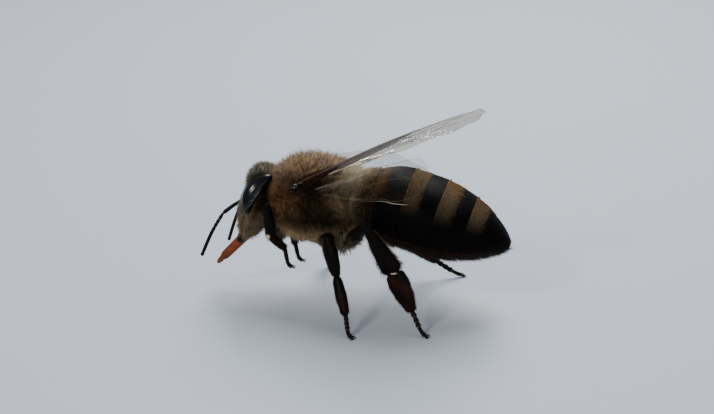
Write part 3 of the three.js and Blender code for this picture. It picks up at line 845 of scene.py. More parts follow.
# A ring's rear edge turns in over these: mm behind the edge, and share of its size.
RING_LIP = ((0.024, 0.99), (0.016, 0.972), (-0.032, 0.955))
a = turn_round(150)[None]
for number, (start, end) in enumerate(zip(RING_ENDS, RING_ENDS[1:]), 1):
    front = start - RING_TUCK * (number > 1)
    skin = abdomen_skin(lambda t: swell(t, start, end, -1))
    if number < 6:
        t = np.linspace(front + 0.002, end, 44)
    else:
        t = front + (end - front) * np.sin(np.linspace(0, math.pi / 2, 60))
    rows = skin.point(t[:, None], a)
    tint = abdomen_marks_and_shade(t[:, None], a)
    if number < 6:
        middle = skin.spine.at(np.array([end]))
        rear = skin.point(np.array([[end]]), a)[0]
        for behind, shrink in RING_LIP:
            edge = middle + (rear - middle) * shrink + skin.spine.along(np.array([end])) * behind
            rows = np.concatenate([rows, edge[None]])
            tint = np.concatenate([tint, tint[-1:]])
    build = Build()
    build.loft(rows, tint)
    slot = "plate" if number == 6 else "band"
    build.piece(f"abdomen_plate_{number}", shell, [f"abdomen_{number}"], slot)

# Legs
FOOT_RADIUS = {"front": 0.105, "middle": 0.12, "hind": 0.135}
KNOB_RADIUS = {"hip": 0.15, "thigh": 0.14, "shin": 0.12, "heel": 0.09}
REDNESS = {"hip": 0.05, "thigh": 0.05, "shin": 0.12, "heel": 0.4}
BRISTLE_LENGTH = {"front": 0.15, "middle": 0.17, "hind": 0.2}
BRISTLES = {"thigh": 700, "shin": 900, "heel": 900}
HIP_HAIRS, THIGH_HAIRS, FRINGE_HAIRS, FOOT_HAIRS = 1300, 420, 260, 500
LEG_GRID = (40, 40)
STRIPS = 48  # rows of the leg hair's map, one for each coat on a leg joint
strip_numbers = iter(range(STRIPS))
leg_hair = Build()
hip_hair = Build()


def next_strip():
    strip = next(strip_numbers)
    return (0.02, strip / STRIPS, 0.98, (strip + 0.9) / STRIPS)


def leg_spurs(build, pair, knee, tip, y):
    """The spur at the end of a shin, and the antenna cleaner's lobe of the front legs."""
    way = unit(tip - knee)
    side = np.array([-0.16, 0.12 * y, 0.02])
    tint = mix(GOLD, PALE, 0.6) if pair == "front" else PALE * 0.7
    if pair == "hind":
        centre = tip + [0.02, side[1] * 1.1, 0.0]
        dome(build, centre, [way * 0.04, [0.15, 0, 0.03], [0, 0.09, 0]], PALE * 0.8)
        return
    route = [tip + side * 0.6 - way * 0.06, tip + side + way * 0.12, tip + side + way * 0.26]
    tube(build, route, lambda t: 0.034 * (1 - t) ** 0.6 + 0.004, 8, 12, tint)
    if pair == "front":
        dome(build, tip + [-0.08, side[1] * 2, 0.11], [[0, 0, 0.1], [0.1, 0, 0], [0, 0.07, 0]], tint)


def foot_shell(pair, points):
    """The small foot joints, the two claws and the pad between them."""
    build = Build()
    path = Spine(points)
    for number, part in enumerate(foot_parts(path), 1):
        thick, spread = (0.1, 0.4) if number == 4 else (FOOT_RADIUS[pair], 0.5)
        shape = lambda t: thick * (0.6 + spread * t) * blunt(t, 10) + 0.002
        tube(build, part, shape, 14, 18, mix(BLACK, DEEP_BROWN, 0.4))
    end = path.at(np.array([FOOT_CUTS[-1]]))[0]
    ahead = unit(unit(points[2] - points[1]) * [1, 1, 0] + [0, 0, -0.05])
    across = unit(np.cross(ahead, [0, 0, 1]))
    drop = -max(0.0, end[2] - 0.012) if pair != "front" else -0.07
    for y in (-1, 1):
        root = end + across * 0.05 * y
        knee = end + ahead * 0.13 + across * 0.12 * y + np.array([0, 0, 0.01])
        hook = end + ahead * 0.22 + across * 0.12 * y + np.array([0, 0, drop])
        tube(build, [root, knee, hook], lambda t: 0.034 * (1 - t) ** 0.7 + 0.004, 8, 14, BLACK)
    pad = end + ahead * 0.1 + np.array([0, 0, drop * 0.55])
    axes = [ahead * 0.1, across * 0.085, [0, 0, min(0.07, abs(drop * 0.45))]]
    dome(build, pad, axes, DEEP_BROWN, 12, 14)
    return build


def leg_coat(pair, name, skin):
    """The coat of the hip, or the bristles of the thigh, shin or heel joint with what grows among them."""
    if name == "hip":
        roots = grow(skin, HIP_HAIRS, t_range=(0.04, 0.9), grid=LEG_GRID)
        colour = mix(TAN * 0.8, PALE * 0.9, RANDOM.random(HIP_HAIRS))
        thatch(
            hip_hair, roots, roots.along * 0.4 + [0.1, 0, -0.8], 0.45 if pair == "hind" else 0.3, 0.0105,
            (colour * 0.35, colour), lift=0.6, mess=0.2, tuft=(10, 0.5), box=next_strip(),
        )
        return
    count = BRISTLES[name]
    roots = grow(skin, count, t_range=(0.04, 0.97), grid=LEG_GRID)
    pale = RANDOM.random(count) < (0.5 if name == "thigh" else 0.25)
    colour = np.where(pale[:, None], WARM_BROWN * 0.45, DEEP_BROWN * 0.4)
    thatch(
        leg_hair, roots, roots.along * 0.9, BRISTLE_LENGTH[pair], 0.0065, (colour * 0.6, colour * 1.2),
        lift=0.4, curl=0.1, rings=0, box=next_strip(),
    )
    if name == "thigh":
        roots = grow(skin, THIGH_HAIRS, lambda t, a, p, n: 1.0 - smooth(0.3, 0.7, t), grid=LEG_GRID)
        colour = TAN * 0.8
        thatch(
            hip_hair, roots, roots.along * 0.6 + [0, 0, -0.3], 0.26, 0.009, (colour * 0.35, colour),
            lift=0.6, box=next_strip(),
        )
    elif pair == "hind":
        rim = lambda t, a, p, n: smooth(0.9, 0.985, np.abs(np.cos(a))) * smooth(0.1, 0.4, t)
        roots = grow(skin, FRINGE_HAIRS, rim, grid=(40, 90))
        colour = TAN * 0.45
        thatch(
            leg_hair, roots, roots.along * 0.9, 0.32 if name == "shin" else 0.18, 0.007,
            (colour * 0.4, colour), lift=0.55, mess=0.12, box=next_strip(),
        )


for leg, joints in LEGS.items():
    pair, side = leg.split("_")
    joints = np.array(joints)
    for i, name in enumerate(["hip", "thigh", "shin", "heel"]):
        overlap = unit(joints[i + 1] - joints[i]) * 0.05
        ends = [joints[i] - overlap * (i > 0), joints[i + 1] + overlap]
        skin = Surface(ends, *profile(LEG_PROFILES[pair][name]), LEG_AXIS)
        rows = skin.point(*body_rings(40, 28))
        glow = 0.5 + 0.5 * waves(rows.reshape(-1, 3), 1.0, 9)
        red = REDNESS[name] * (1.2 if pair == "hind" else 0.8)
        build = Build()
        build.loft(rows, mix(BLACK * 0.7, [0.045, 0.009, 0.006], glow * red).reshape(rows.shape))
        knob = KNOB_RADIUS[name]
        dome(build, joints[i + 1], [[0, 0, knob], [knob, 0, 0], [0, knob, 0]], BLACK * 1.2)
        if name == "shin":
            leg_spurs(build, pair, joints[2], joints[3], dict(SIDES)[side])
        build.piece(f"leg_{leg}_{name}_shell", leg_shell, [f"leg_{leg}_{name}"], "leg")
        leg_coat(pair, name, skin)
    foot_shell(pair, joints[4:]).piece(f"leg_{leg}_foot_shell", leg_shell, [f"leg_{leg}_foot"], "leg")
    skin = Surface(joints[4:], lambda t: 0.09 + 0 * t, lambda t, a: 0.09 + 0 * t, LEG_AXIS)
    roots = grow(skin, FOOT_HAIRS, t_range=(0.0, FOOT_CUTS[-1]), grid=(40, 30))
    colour = DEEP_BROWN * 1.5
    thatch(
        leg_hair, roots, roots.along * 0.9, 0.11, 0.006, (colour * 0.6, colour * 1.6),
        lift=0.5, curl=0.1, rings=0, box=next_strip(),
    )
leg_hair.piece("leg_bristles", fine_hair, slot="leg", keep_uv=True)
hip_hair.piece("hip_coat", fine_hair, keep_uv=True)

# Feelers: the first two points of each are the ends of its scape, the others the bends of its lash.
FEELERS = {
    "left": [[-5.0, -0.4, 5.0], [-5.92, -1.6, 4.56], [-6.36, -1.95, 3.75], [-6.84, -2.15, 2.6]],
    "right": [[-5.0, 0.4, 4.82], [-5.85, 1.5, 4.14], [-6.32, 1.78, 3.1], [-6.74, 1.88, 1.85]],
}
LASH_CUTS = [0.0, *np.linspace(0.055, 1.0, 11)]
feeler_shell = plate_look("feeler_shell", 0.5, 0.12, 0.006)
for side, points in FEELERS.items():
    points = np.array(points)
    build = Build()
    scape = [points[0], (points[0] + points[1]) / 2 + [-0.05, 0, 0.03], points[1]]
    shape = lambda t: 0.088 * blunt(t, 14) * (0.85 + 0.25 * t) + 0.002
    tube(build, scape, shape, 16, 40, BLACK * 1.1)
    dome(build, points[0], [[0, 0, 0.14], [0.14, 0, 0], [0, 0.14, 0]], BLACK * 1.4)
    build.piece(f"scape_{side}", feeler_shell, [f"antenna_{side}_scape"], "feeler")
    build = Build()
    lash = Spine(points[1:])
    for start, end in zip(LASH_CUTS, LASH_CUTS[1:]):
        thick = 0.08 if start else 0.066
        power = 4 if end == 1 else 16
        shape = lambda t: thick * np.clip(1 - np.abs(2 * t - 1) ** power, 0, 1) ** 0.4 + 0.002
        tube(build, lash.at(np.linspace(start - 0.004, end + 0.001, 4)), shape, 16, 16, BLACK * 1.1)
    build.piece(f"flagellum_{side}", feeler_shell, [f"antenna_{side}_flagellum"], "feeler")

# Tongue and jaws
tongue = tongue_look()
build = Build()
base, tip = np.array([-5.0, 0, 3.3]), np.array([-6.5, 0, 1.7])
for y in (-1, 1):
    offset = np.array([0.0, 0.08 * y, 0.0])
    points = [base + offset, base + (tip - base) * 0.5 + offset * 1.15, tip + offset * 0.6]
    wide = lambda t, a: (0.25 - 0.05 * t) * blunt(t, 12) + 0.003
    deep = lambda t: (0.16 - 0.03 * t) * blunt(t, 12) + 0.003
    t, a = body_rings(50, 26)
    dark = np.maximum(smooth(0.35, 0.0, t), 0.6 * smooth(0.6, 0.95, t)) + 0 * a
    build.loft(Surface(points, deep, wide).point(t, a), mix(AMBER, AMBER * 0.25, dark))
build.piece("proboscis_blades", tongue, ["proboscis"], "tongue")
build = Build()
far = np.array([-6.76, 0, 1.4])
shape = lambda t: 0.15 * (1 - t * 0.25) * np.sqrt(np.clip(1 - t**6, 0, 1)) + 0.004
tube(build, [tip - unit(tip - base) * 0.25, (tip + far) / 2, far], shape, 12, 20, AMBER * 0.8)
build.piece("glossa_core", tongue, ["glossa"], "tongue")
for side, y in SIDES:
    build = Build()
    points = [[-5.1, 0.5 * y, 3.45], [-5.4, 0.42 * y, 3.02], [-5.54, 0.22 * y, 2.62]]
    wide = lambda t: 0.23 * blunt(t, 5) * (1 - 0.25 * t) + 0.003
    t, a = body_rings(30, 24)
    skin = Surface(points, wide, lambda t, a: 0.6 * wide(t), (1, 0, 0.4))
    build.loft(skin.point(t, a), mix(BLACK, DEEP_BROWN, smooth(0.5, 1, t) + 0 * a))
    build.piece(f"jaw_{side}", leg_shell, [f"mandible_{side}"], "leg")

# ---------------------------------------------------------------- wings

# Each wing's front edge in mm, the way from its front edge to its rear edge, and how far it bellies.
WINGS = {
    "forewing_left": (
        [[-2.25, -1.72, 6.3], [1.7, -2.74, 8.68], [5.9, -3.75, 10.9]], [0.2, 0.92, -0.34], 0.0
    ),
    "forewing_right": ([[-2.25, 1.75, 6.3], [1.6, 2.85, 4.3], [5.75, 2.2, 2.5]], [0, -0.5, 0.87], 0.66),
    "hindwing_left": ([[-1.45, -1.72, 5.95], [1.0, -2.4, 7.25], [3.55, -3.0, 8.42]], [-0.1, 0.25, -1], 0.0),
    "hindwing_right": ([[-1.45, 1.75, 5.6], [0.95, 3.2, 4.7], [3.4, 3.75, 3.9]], [0, -0.1, -1], 0.1),
}
# Each vein's thickness in mm where it starts, and its route in shares of the blade's length and width.
FORE_VEINS = [
    (0.07, [(0, 0.0), (0.2, 0.02), (0.42, 0.015), (0.6, 0.01), (0.66, 0.02)]),
    (0.055, [(0.0, 0.07), (0.2, 0.08), (0.42, 0.075), (0.58, 0.06), (0.66, 0.02)]),
    (0.03, [(0.66, 0.02), (0.8, 0.0), (0.92, 0.06)]),
    (0.03, [(0.58, 0.07), (0.68, 0.15), (0.8, 0.17), (0.92, 0.06)]),
    (0.04, [(0.02, 0.1), (0.15, 0.2), (0.3, 0.32)]),
    (0.03, [(0.3, 0.32), (0.35, 0.17), (0.42, 0.08)]),
    (0.028, [(0.38, 0.16), (0.46, 0.2), (0.58, 0.17), (0.68, 0.15)]),
    (0.028, [(0.3, 0.32), (0.38, 0.4), (0.5, 0.4), (0.62, 0.42), (0.72, 0.36), (0.84, 0.38)]),
    (0.026, [(0.46, 0.2), (0.44, 0.4)]),
    (0.026, [(0.58, 0.17), (0.6, 0.41)]),
    (0.026, [(0.78, 0.17), (0.8, 0.28), (0.72, 0.36)]),
    (0.026, [(0.3, 0.32), (0.29, 0.56)]),
    (0.028, [(0.29, 0.56), (0.42, 0.6), (0.56, 0.68), (0.7, 0.6)]),
    (0.026, [(0.56, 0.41), (0.56, 0.68)]),
    (0.026, [(0.72, 0.36), (0.7, 0.6)]),
    (0.034, [(0.02, 0.3), (0.15, 0.48), (0.29, 0.62), (0.42, 0.88)]),
]
HIND_VEINS = [
    (0.05, [(0, 0.02), (0.25, 0.06), (0.5, 0.03), (0.62, 0.0)]),
    (0.034, [(0.0, 0.12), (0.22, 0.24), (0.42, 0.3), (0.62, 0.36), (0.78, 0.42)]),
    (0.028, [(0.42, 0.3), (0.46, 0.12), (0.5, 0.03)]),
    (0.03, [(0.02, 0.2), (0.2, 0.5), (0.38, 0.66), (0.55, 0.9)]),
]


def bezier(a, b, c, d, n):
    s = np.linspace(0, 1, n, endpoint=False)[:, None]
    a, b, c, d = (np.array(v, float) for v in (a, b, c, d))
    return a * (1 - s) ** 3 + 3 * b * s * (1 - s) ** 2 + 3 * c * s * s * (1 - s) + d * s**3


def blade_edges(bow, width, widest, root):
    """A blade's reach and its front and rear edges, in shares of its length and width. bow, width and
    root are shares of its length; widest is where it is widest."""
    lead, foot = -bow / width, root / width / 2
    front = np.vstack([
        bezier([0, -foot], [0.3, lead], [0.75, 1.4 * lead], [0.95, 0.04], 40),
        bezier([0.95, 0.04], [1.01, 0.16], [0.985, 0.4], [0.93, 0.56], 30),
    ])
    rear = np.vstack([
        bezier([0.93, 0.56], [widest + 0.14, 0.9], [widest + 0.03, 1], [widest, 1], 30),
        bezier([widest, 1], [0.42, 0.98], [0.2, 0.4], [0, foot], 50),
        [[0, foot]],
    ])
    outline = np.vstack([front, rear])
    far = np.argmax(outline[:, 0])
    return outline[far, 0], outline[: far + 1], outline[far:][::-1]


# Each kind of wing's bow, width, widest place and root, as blade_edges takes them.
BLADE_SHAPES = {"forewing": (0.035, 0.335, 0.68, 0.05), "hindwing": (0.02, 0.31, 0.72, 0.06)}


def there_and_back(upper, lower):
    """Rows that run to the rear edge on a sheet's upper side and back on its lower side."""
    return np.concatenate([upper, lower[:, ::-1]], 1)


class Blade:
    """A wing's curved surface: place(x, y) for shares of its length and of its greatest width."""

    def __init__(self, kind, edge, across, belly, pull):
        self.reach, self.head_edge, self.tail_edge = blade_edges(*BLADE_SHAPES[kind])
        self.curve = Spine(edge)
        self.across = np.array(across, float)
        self.belly = belly
        self.width = BLADE_SHAPES[kind][1] * np.linalg.norm(np.array(edge[0]) - np.array(edge[2]))
        self.side = edge[0][1]
        self.pull = pull

    def place(self, x, y, lift=0.0):
        held = np.minimum(1, x)
        along = self.curve.along(held)
        chord = unit(self.across - along * (along @ self.across)[..., None])
        outward = np.cross(along, chord)
        facing = np.where(np.abs(chord[..., 2]) > 0.8, outward[..., 1] * self.side, outward[..., 2])
        outward = outward * np.where(facing < 0, -1, 1)[..., None]
        middle = self.width / 2
        inset = y * self.width / middle - 1
        folds = 0.05 * np.sin(y * 19 + x * 4) * smooth(0.05, 0.25, x) * smooth(-0.02, 0.1, y)
        rise = self.belly * np.maximum(0, 1 - inset**2) + folds + (self.pull + lift)
        out = self.curve.at(held) + along * ((x - held) * self.curve.length)[..., None]
        return out + chord * (middle * (1 + inset))[..., None] + outward * rise[..., None]

    def edges(self, x):
        """The y of the front and rear edges at x."""
        return [np.interp(x, edge[:, 0], edge[:, 1]) for edge in (self.head_edge, self.tail_edge)]

    def sheet(self, x, y, half):
        """The rings of a thin closed sheet, half its thickness to each side."""
        return there_and_back(self.place(x, y, half), self.place(x, y, -half))


membranes = {
    "forewing_left": membrane_look("raised_membrane", (1.0, 0.98, 0.95), 0.32, 0.1, through=0.18),
    "forewing_right": membrane_look("folded_membrane", (0.6, 0.52, 0.42), 0.16, 0.3, 0.3),
    "hindwing_left": membrane_look(
        "hindwing_membrane", (0.42, 0.37, 0.31), 0.1, 0.5, 0.2, crumple=0.01, film=0
    ),
}
membranes["hindwing_right"] = membranes["hindwing_left"]
# The tint of a wing's veins and of its rim, and how thick its veins are.
VEINS = {
    "forewing_left": (TAN * 0.35, DEEP_BROWN * 4, 0.5),
    "forewing_right": (PALE, SILVER, 0.22),
    "hindwing_left": (TAN * 0.3, TAN * 0.4, 0.35),
    "hindwing_right": (PALE, SILVER, 0.22),
}
ROOT_SHARE = 0.24  # how far along the forewing its thick root runs
# The hindwing's pale fold is a painted highlight along its rear edge.
REAR_HIGHLIGHT_ENDS = (0.38, 0.68)  # of the pale fold along the hindwing's rear edge
# How far the darker film over the raised forewing's front cells runs along it and spreads over it.
FILM_END, FILM_SHARE = 0.72, 0.55
# Small wrinkles that stand across the raised forewing and glint: how many, where they start and end
# along it and as shares of its width, and their length and height.
CRINKLES = (
    (150, 0.52, 0.71, 0.35, 0.95, 0.08, 0.06),
    (420, 0.27, 0.43, 0.66, 0.84, 0.2, 0.07),
)
GLINT_WAY = unit(np.array([-0.108, -0.887, 0.45]))  # the way the wrinkles face
wing_roots = []
vein_look = plate_look("wing_vein", 0.5, 0.15, 0.004)
rear_highlight_look = hair_look("wing_rear_highlight", 0.3, 0.3)
glint = Look("wing_glint", Metallic=1.0, Roughness=0.3)
glint.set("Base Color", glint.tinted(glint.patchy(6.0, 0.8, 1.0)))
HALF_SKIN, HALF_FILM = 0.009, 0.014  # half thickness of the membranes and of the film over one, in mm
FLANK_PULL = -0.12  # mm, draws the right forewing towards the flank it lies on
RIM_INSET = 0.02  # how far veins keep inside the blade's edges


def membrane(name, blade, kind):
    """The clear skin of a wing."""
    x = np.sin(np.linspace(0, math.pi / 2, 90)) * (blade.reach - 1e-4)
    y = np.linspace(0, 1, 30)[None]
    lead, trail = blade.edges(x[:, None])
    gx = np.repeat(x[:, None], 30, 1)
    tint = np.ones(gx.shape + (3,))
    if kind == "hindwing":
        tint = mix([1.0, 1.0, 1.0], SMOKE, smooth(0.1, 0.3, y) + 0 * gx)
    if name == "forewing_left":
        pale = np.maximum(smooth(0.35, 0.75, y), smooth(0.5, 0.75, gx))
        tint = mix(MAUVE, mix(CREAM, BEIGE, smooth(0.3, 0.65, gx)), pale)
    build = Build()
    build.loft(blade.sheet(gx, lead * (1 - y) + trail * y, HALF_SKIN), there_and_back(tint, tint))
    build.piece(f"{name}_membrane", membranes[name], [name], "wing")


def front_film(name, blade):
    """The film over the front cells, which are darker and less clear than the rest of the blade."""
    y = np.linspace(0, 1, 30)[None]
    gx = np.linspace(0.02, FILM_END, 60)[:, None] + 0 * y
    lead, trail = blade.edges(gx)
    wide = FILM_SHARE * np.minimum(1, (FILM_END - gx) / 0.5)
    tint = mix(mix(WARM_BROWN * 0.7, MAUVE * 1.5, smooth(0.1, 0.3, gx)), BEIGE, smooth(0.45, 0.65, gx))
    build = Build()
    build.loft(blade.sheet(gx, lead + (trail - lead) * y * wide, HALF_FILM), there_and_back(tint, tint))
    build.piece(f"{name}_film", membrane_look("wing_film", (1.0, 0.96, 0.94), 0.62, 0.3, 0.3), slot="wing")


def veins(name, blade, kind):
    """The veins and the rim of a wing, with a forewing's thick root."""
    build = Build()
    vein_tint, rim_tint, scale = VEINS[name]
    for thick, route in FORE_VEINS if kind == "forewing" else HIND_VEINS:
        flat = np.array([(px, py, 0) for px, py in route])
        fine = Spine(flat).at(np.linspace(0, 1, 28)) if len(flat) > 2 else np.linspace(*flat, 12)
        run = np.clip(fine[:, 0], 0.002, blade.reach)
        lead, trail = blade.edges(run)
        inside = np.maximum(lead + RIM_INSET, np.minimum(fine[:, 1], trail - RIM_INSET))
        size = lambda t: thick * scale * 0.5 * blunt(t, 20) * (1 - 0.35 * t) + 0.003
        tube(build, blade.place(run, inside), size, 7, 30, vein_tint)
    rim = np.vstack([blade.head_edge[::3], blade.tail_edge[::-1][::4]])
    line = blade.place(np.clip(rim[:, 0], 0.002, blade.reach), rim[:, 1])
    tube(build, line, lambda t: 0.004 + 0.006 * scale + 0 * t, 6, 120, rim_tint)
    if kind == "forewing":
        run = np.linspace(0.0, ROOT_SHARE, 16)
        line = blade.place(run + 0.004, 0.05 + 0 * run)
        root = lambda t: 0.2 * (1 - t) ** 0.7 * np.sqrt(np.clip(t * 12, 0, 1)) + 0.015
        tube(build, line, root, 12, 30, MAROON * 0.6)
        wing_roots.append(Surface(line, root, lambda t, a: root(t)))
    build.piece(f"{name}_veins", vein_look, slot="wing")


def rear_edge_highlight(name, blade):
    """A pale fold along the rear edge, its cream a painted highlight."""
    run = np.linspace(*REAR_HIGHLIGHT_ENDS, 20)
    _, trail = blade.edges(run)
    line = blade.place(run, trail + 0.16 * smooth(0.5, 0.66, run), 0.01)
    build = Build()
    tube(build, line, lambda t: 0.017 * np.sin(np.pi * t**1.6) ** 0.8 + 0.001, 8, 40, CREAM * 0.5)
    build.piece(f"{name}_fold", rear_highlight_look, slot="wing")


def wrinkles(name, blade):
    """The small wrinkles that glint, one four-cornered face each."""
    build = Build()
    for number, start, end, front_share, rear_share, long, high in CRINKLES:
        run = RANDOM.uniform(start, end, number)
        lead, trail = blade.edges(run)
        spot = lead + (trail - lead) * RANDOM.uniform(front_share, rear_share, number)
        middle = blade.place(run, spot, -0.02)
        along = unit(blade.place(run + 0.01, spot, -0.02) - middle)
        facing = unit(GLINT_WAY + RANDOM.normal(size=(number, 3)) * 0.07)
        rise = unit(np.cross(facing, along)) * high / 2
        stretch = unit(np.cross(rise, facing)) * long / 2 * RANDOM.uniform(0.4, 1, (number, 1))
        corners = np.stack([middle - stretch, middle + rise, middle + stretch, middle - rise], 1)
        build.add(corners, [np.arange(number * 4).reshape(-1, 4)], tint=WHITE)
    build.piece(f"{name}_crinkles", glint.mat, slot="wing")


for name, (edge, across, belly) in WINGS.items():
    kind = name.split("_")[0]
    blade = Blade(kind, edge, across, belly, FLANK_PULL if name == "forewing_right" else 0.0)
    membrane(name, blade, kind)
    if name == "forewing_left":
        front_film(name, blade)
    veins(name, blade, kind)
    if name == "hindwing_left":
        rear_edge_highlight(name, blade)
    if name == "forewing_left":
        wrinkles(name, blade)

# ---------------------------------------------------------------- coat

many = 1.0  # the share of the hairs that is made

# Thorax: a dense coat in three pieces, longer thin hairs over it, and the long pale hair that fills the
# hollow before the abdomen together with the hair on the wing roots.
roots = grow(thorax, int(42000 * many))
p, n = roots.p, roots.n
sweep = np.array([0.45, 0, 0.0]) + np.outer(1 - np.abs(n[:, 2]), [0.1, 0, -0.45])
sweep = sweep + np.outer(smooth(-0.2, -0.8, n[:, 2]), [-0.1, 0, -0.3])
sweep = sweep + np.outer(smooth(-3.2, -3.8, p[:, 0]), [-0.7, 0, 0.25])
sweep = sweep + 0.32 * np.stack([waves(p, 0.8, seed) for seed in (5, 6, 7)], -1)
length = 0.4 + 0.08 * smooth(0.3, 0.9, n[:, 2])
tints = thorax_marks_and_shade(p)
for number, part in enumerate(np.array_split(np.argsort(roots.t), 3), 1):
    coat(
        f"thorax_coat_{number}", hair, chosen_roots(roots, part), sweep[part], length[part], 0.0125,
        [tint[part] for tint in tints], lift=0.85, curl=0.15, mess=0.2, tuft=(20, 0.85),
    )

count = int(12000 * many)
over_and_under = lambda t, a, p, n: 0.3 + smooth(0.0, 0.7, n[..., 2]) + smooth(-0.3, -0.9, n[..., 2])
roots = grow(thorax, count, over_and_under)
up = roots.n[:, 2]
root_tint, tip_tint = thorax_marks_and_shade(roots.p)
# Tips turn silver on the top, partly their own pale tips and partly a painted backlit glow, and underneath,
# where the hair is pale.
silvered_and_backlit = 0.1 + 0.5 * np.maximum(smooth(0.5, 0.95, up), smooth(-0.4, -0.9, up))
length = (0.5 + 0.22 * smooth(0.3, 0.9, up)) * RANDOM.uniform(0.7, 1.1, count)
coat(
    "thorax_guard_hair", fine_hair, roots, np.array([0.15, 0, 0.1]), length, 0.0085,
    (root_tint, mix(tip_tint, SILVER, silvered_and_backlit)), lift=1.1, curl=0.1, mess=0.24, tuft=(4, 0.5), rings=2,
)

build = Build()
rear = lambda t, a, p, n: smooth(0.82, 0.9, t) * (0.1 + smooth(-0.1, 0.5, n[..., 2]))
roots = grow(thorax, int(4200 * many), rear, (0.8, 0.99))
high = smooth(0.1, 0.7, roots.n[:, 2])
# Paler where it faces up, darker down the side: partly its own pale hair, partly painted shade.
colour = mix(TAN * 0.55, PALE * 1.15, high)
thatch(
    build, roots, np.outer(1 + high, [0.25, 0, 0.35]), 0.5 + 0.32 * high, 0.0105, (colour * 0.4, colour),
    mess=0.22, tuft=(8, 0.5),
)
for map_row, skin in zip((0.0, 0.4), wing_roots):
    count = int(1400 * many)
    roots = grow(skin, count, lambda t, a, p, n: 1.0 - 0.85 * t, (0.02, 0.85), (60, 40))
    colour = mix(MAROON * 0.8, WARM_BROWN, RANDOM.random(count) ** 2)
    thatch(
        build, roots, roots.along * 1.1, 0.26, 0.008, (colour * 0.5, colour), lift=0.4, curl=0.1, mess=0.2,
        tuft=(6, 0.5), box=(0, map_row, 1, map_row + 0.35),
    )
build.piece("thorax_rear_hair", fine_hair, keep_uv=True)

# Head: a coat that leaves the eyes bare, longer hairs over it, and a fringe along the lower rear rim of
# each eye.
roots = grow(head, int(20000 * many), lambda t, a, p, n: smooth(0.99, 0.93, t), (0.001, 0.98))
roots = chosen_roots(roots, ~in_eye(roots.p, 1.02))
p, n = roots.p, roots.n
crown = smooth(5.7, 6.3, p[:, 2])
face = smooth(0.2, -0.4, n[:, 0])
nape = smooth(0.2, 0.6, n[:, 0])
cheek = (1 - crown) * (1 - face) * (1 - nape)
jowl = smooth(4.9, 4.2, p[:, 2])
beard = np.maximum(cheek, jowl * (1 - face))
brow = face * smooth(0.6, 1.1, np.abs(p[:, 1])) * (1 - jowl) * smooth(6.0, 5.5, p[:, 2])
behind = np.maximum(crown * smooth(-5.1, -4.5, p[:, 0]), nape)
sweep = roots.along * 0.7 * face[:, None] + np.outer(crown, [-0.25, 0, 0.5])
sweep = sweep + np.outer(cheek, [-0.1, 0, -0.75])
sweep = sweep + np.outer(nape, [0.1, 0, 0.35])
sweep = sweep + np.outer(brow, [-0.6, 0, 0.0])
length = 0.15 + 0.22 * behind + 0.17 * beard + 0.06 * face + 0.14 * brow
length = np.where(in_eye(p, 1.25), length * 0.7, length)
grey = mix(OLIVE * 3, TAN * 1.1, 0.5 + 0.5 * waves(p, 0.6, 12))
grey = mix(grey, mix(SILVER, GOLD, 0.35) * 0.7, 0.75 * beard)
grey = mix(grey, SILVER * 0.5, 0.4 * face)
grey = mix(grey, mix(PALE, SILVER, 0.5) * 0.24, crown)
grey = mix(grey, PALE * 0.75, brow)
grey = mix(grey, mix(WARM_BROWN * 0.45, PALE * 0.22, crown), nape * (1 - jowl))
coat(
    "head_coat", fine_hair, roots, sweep, length, 0.009, (grey * 0.3, grey),
    lift=0.5, mess=0.18, tuft=(16, 0.65),
)


def crown_and_chin(t, a, p, n):
    z = p[..., 2]
    return (0.25 + smooth(5.4, 6.1, z) + smooth(5.0, 4.2, z)) * smooth(0.99, 0.92, t)


roots = grow(head, int(3800 * many), crown_and_chin, (0.001, 0.98))
roots = chosen_roots(roots, ~in_eye(roots.p, 1.05))
crown = smooth(5.5, 6.1, roots.p[:, 2])
colour = mix(mix(TAN, GOLD, 0.4), PALE * 0.9, crown)
sweep = np.outer(crown, [0.1, 0, 0.5]) + np.outer(1 - crown, [-0.3, 0, -0.9])
coat(
    "head_guard_hair", fine_hair, roots, sweep, 0.38, 0.009, (colour * 0.4, colour),
    lift=0.5, curl=0.15, mess=0.2, tuft=(3, 0.5), rings=2,
)

EYE_FRINGE = 260  # hairs by each eye
build = Build()
for y in (-1, 1):
    _, along, front, across = eye_axes(y)
    pole = RANDOM.uniform(0.42, 0.7, EYE_FRINGE) * math.pi
    full = np.sin(pole)[:, None]
    p = eye_middle(pole[:, None], y)
    p = p - full * front * EYE_HALF[1] * 0.92 + full * across * EYE_HALF[2] * 0.4
    p = rolled(p + RANDOM.normal(size=p.shape) * 0.012)
    out, down = rolled(HEAD_PIVOT + across) - HEAD_PIVOT, HEAD_PIVOT - rolled(HEAD_PIVOT + along)
    forward = rolled(HEAD_PIVOT + front) - HEAD_PIVOT
    roots = Roots(pole / math.pi, np.full(EYE_FRINGE, 2.0 + y), p, out, down)
    colour = SILVER * 0.75
    thatch(
        build, roots, down + 0.25 * forward, 0.34, 0.0085, (colour * 0.5, colour),
        lift=0.25, curl=0.1, mess=0.1, tuft=(6, 0.5),
    )
build.piece("eye_fringe", fine_hair, keep_uv=True)

# Abdomen: long hair on the first ring, a felt at the front of rings 3 to 5, and sparse dark hair.
roots = grow(abdomen, int(14000 * many), lambda t, a, p, n: 1 - smooth(0.1, 0.18, t), (0.015, 0.18))
up = roots.n[:, 2]
fade = smooth(0.03, 0.13, roots.t)
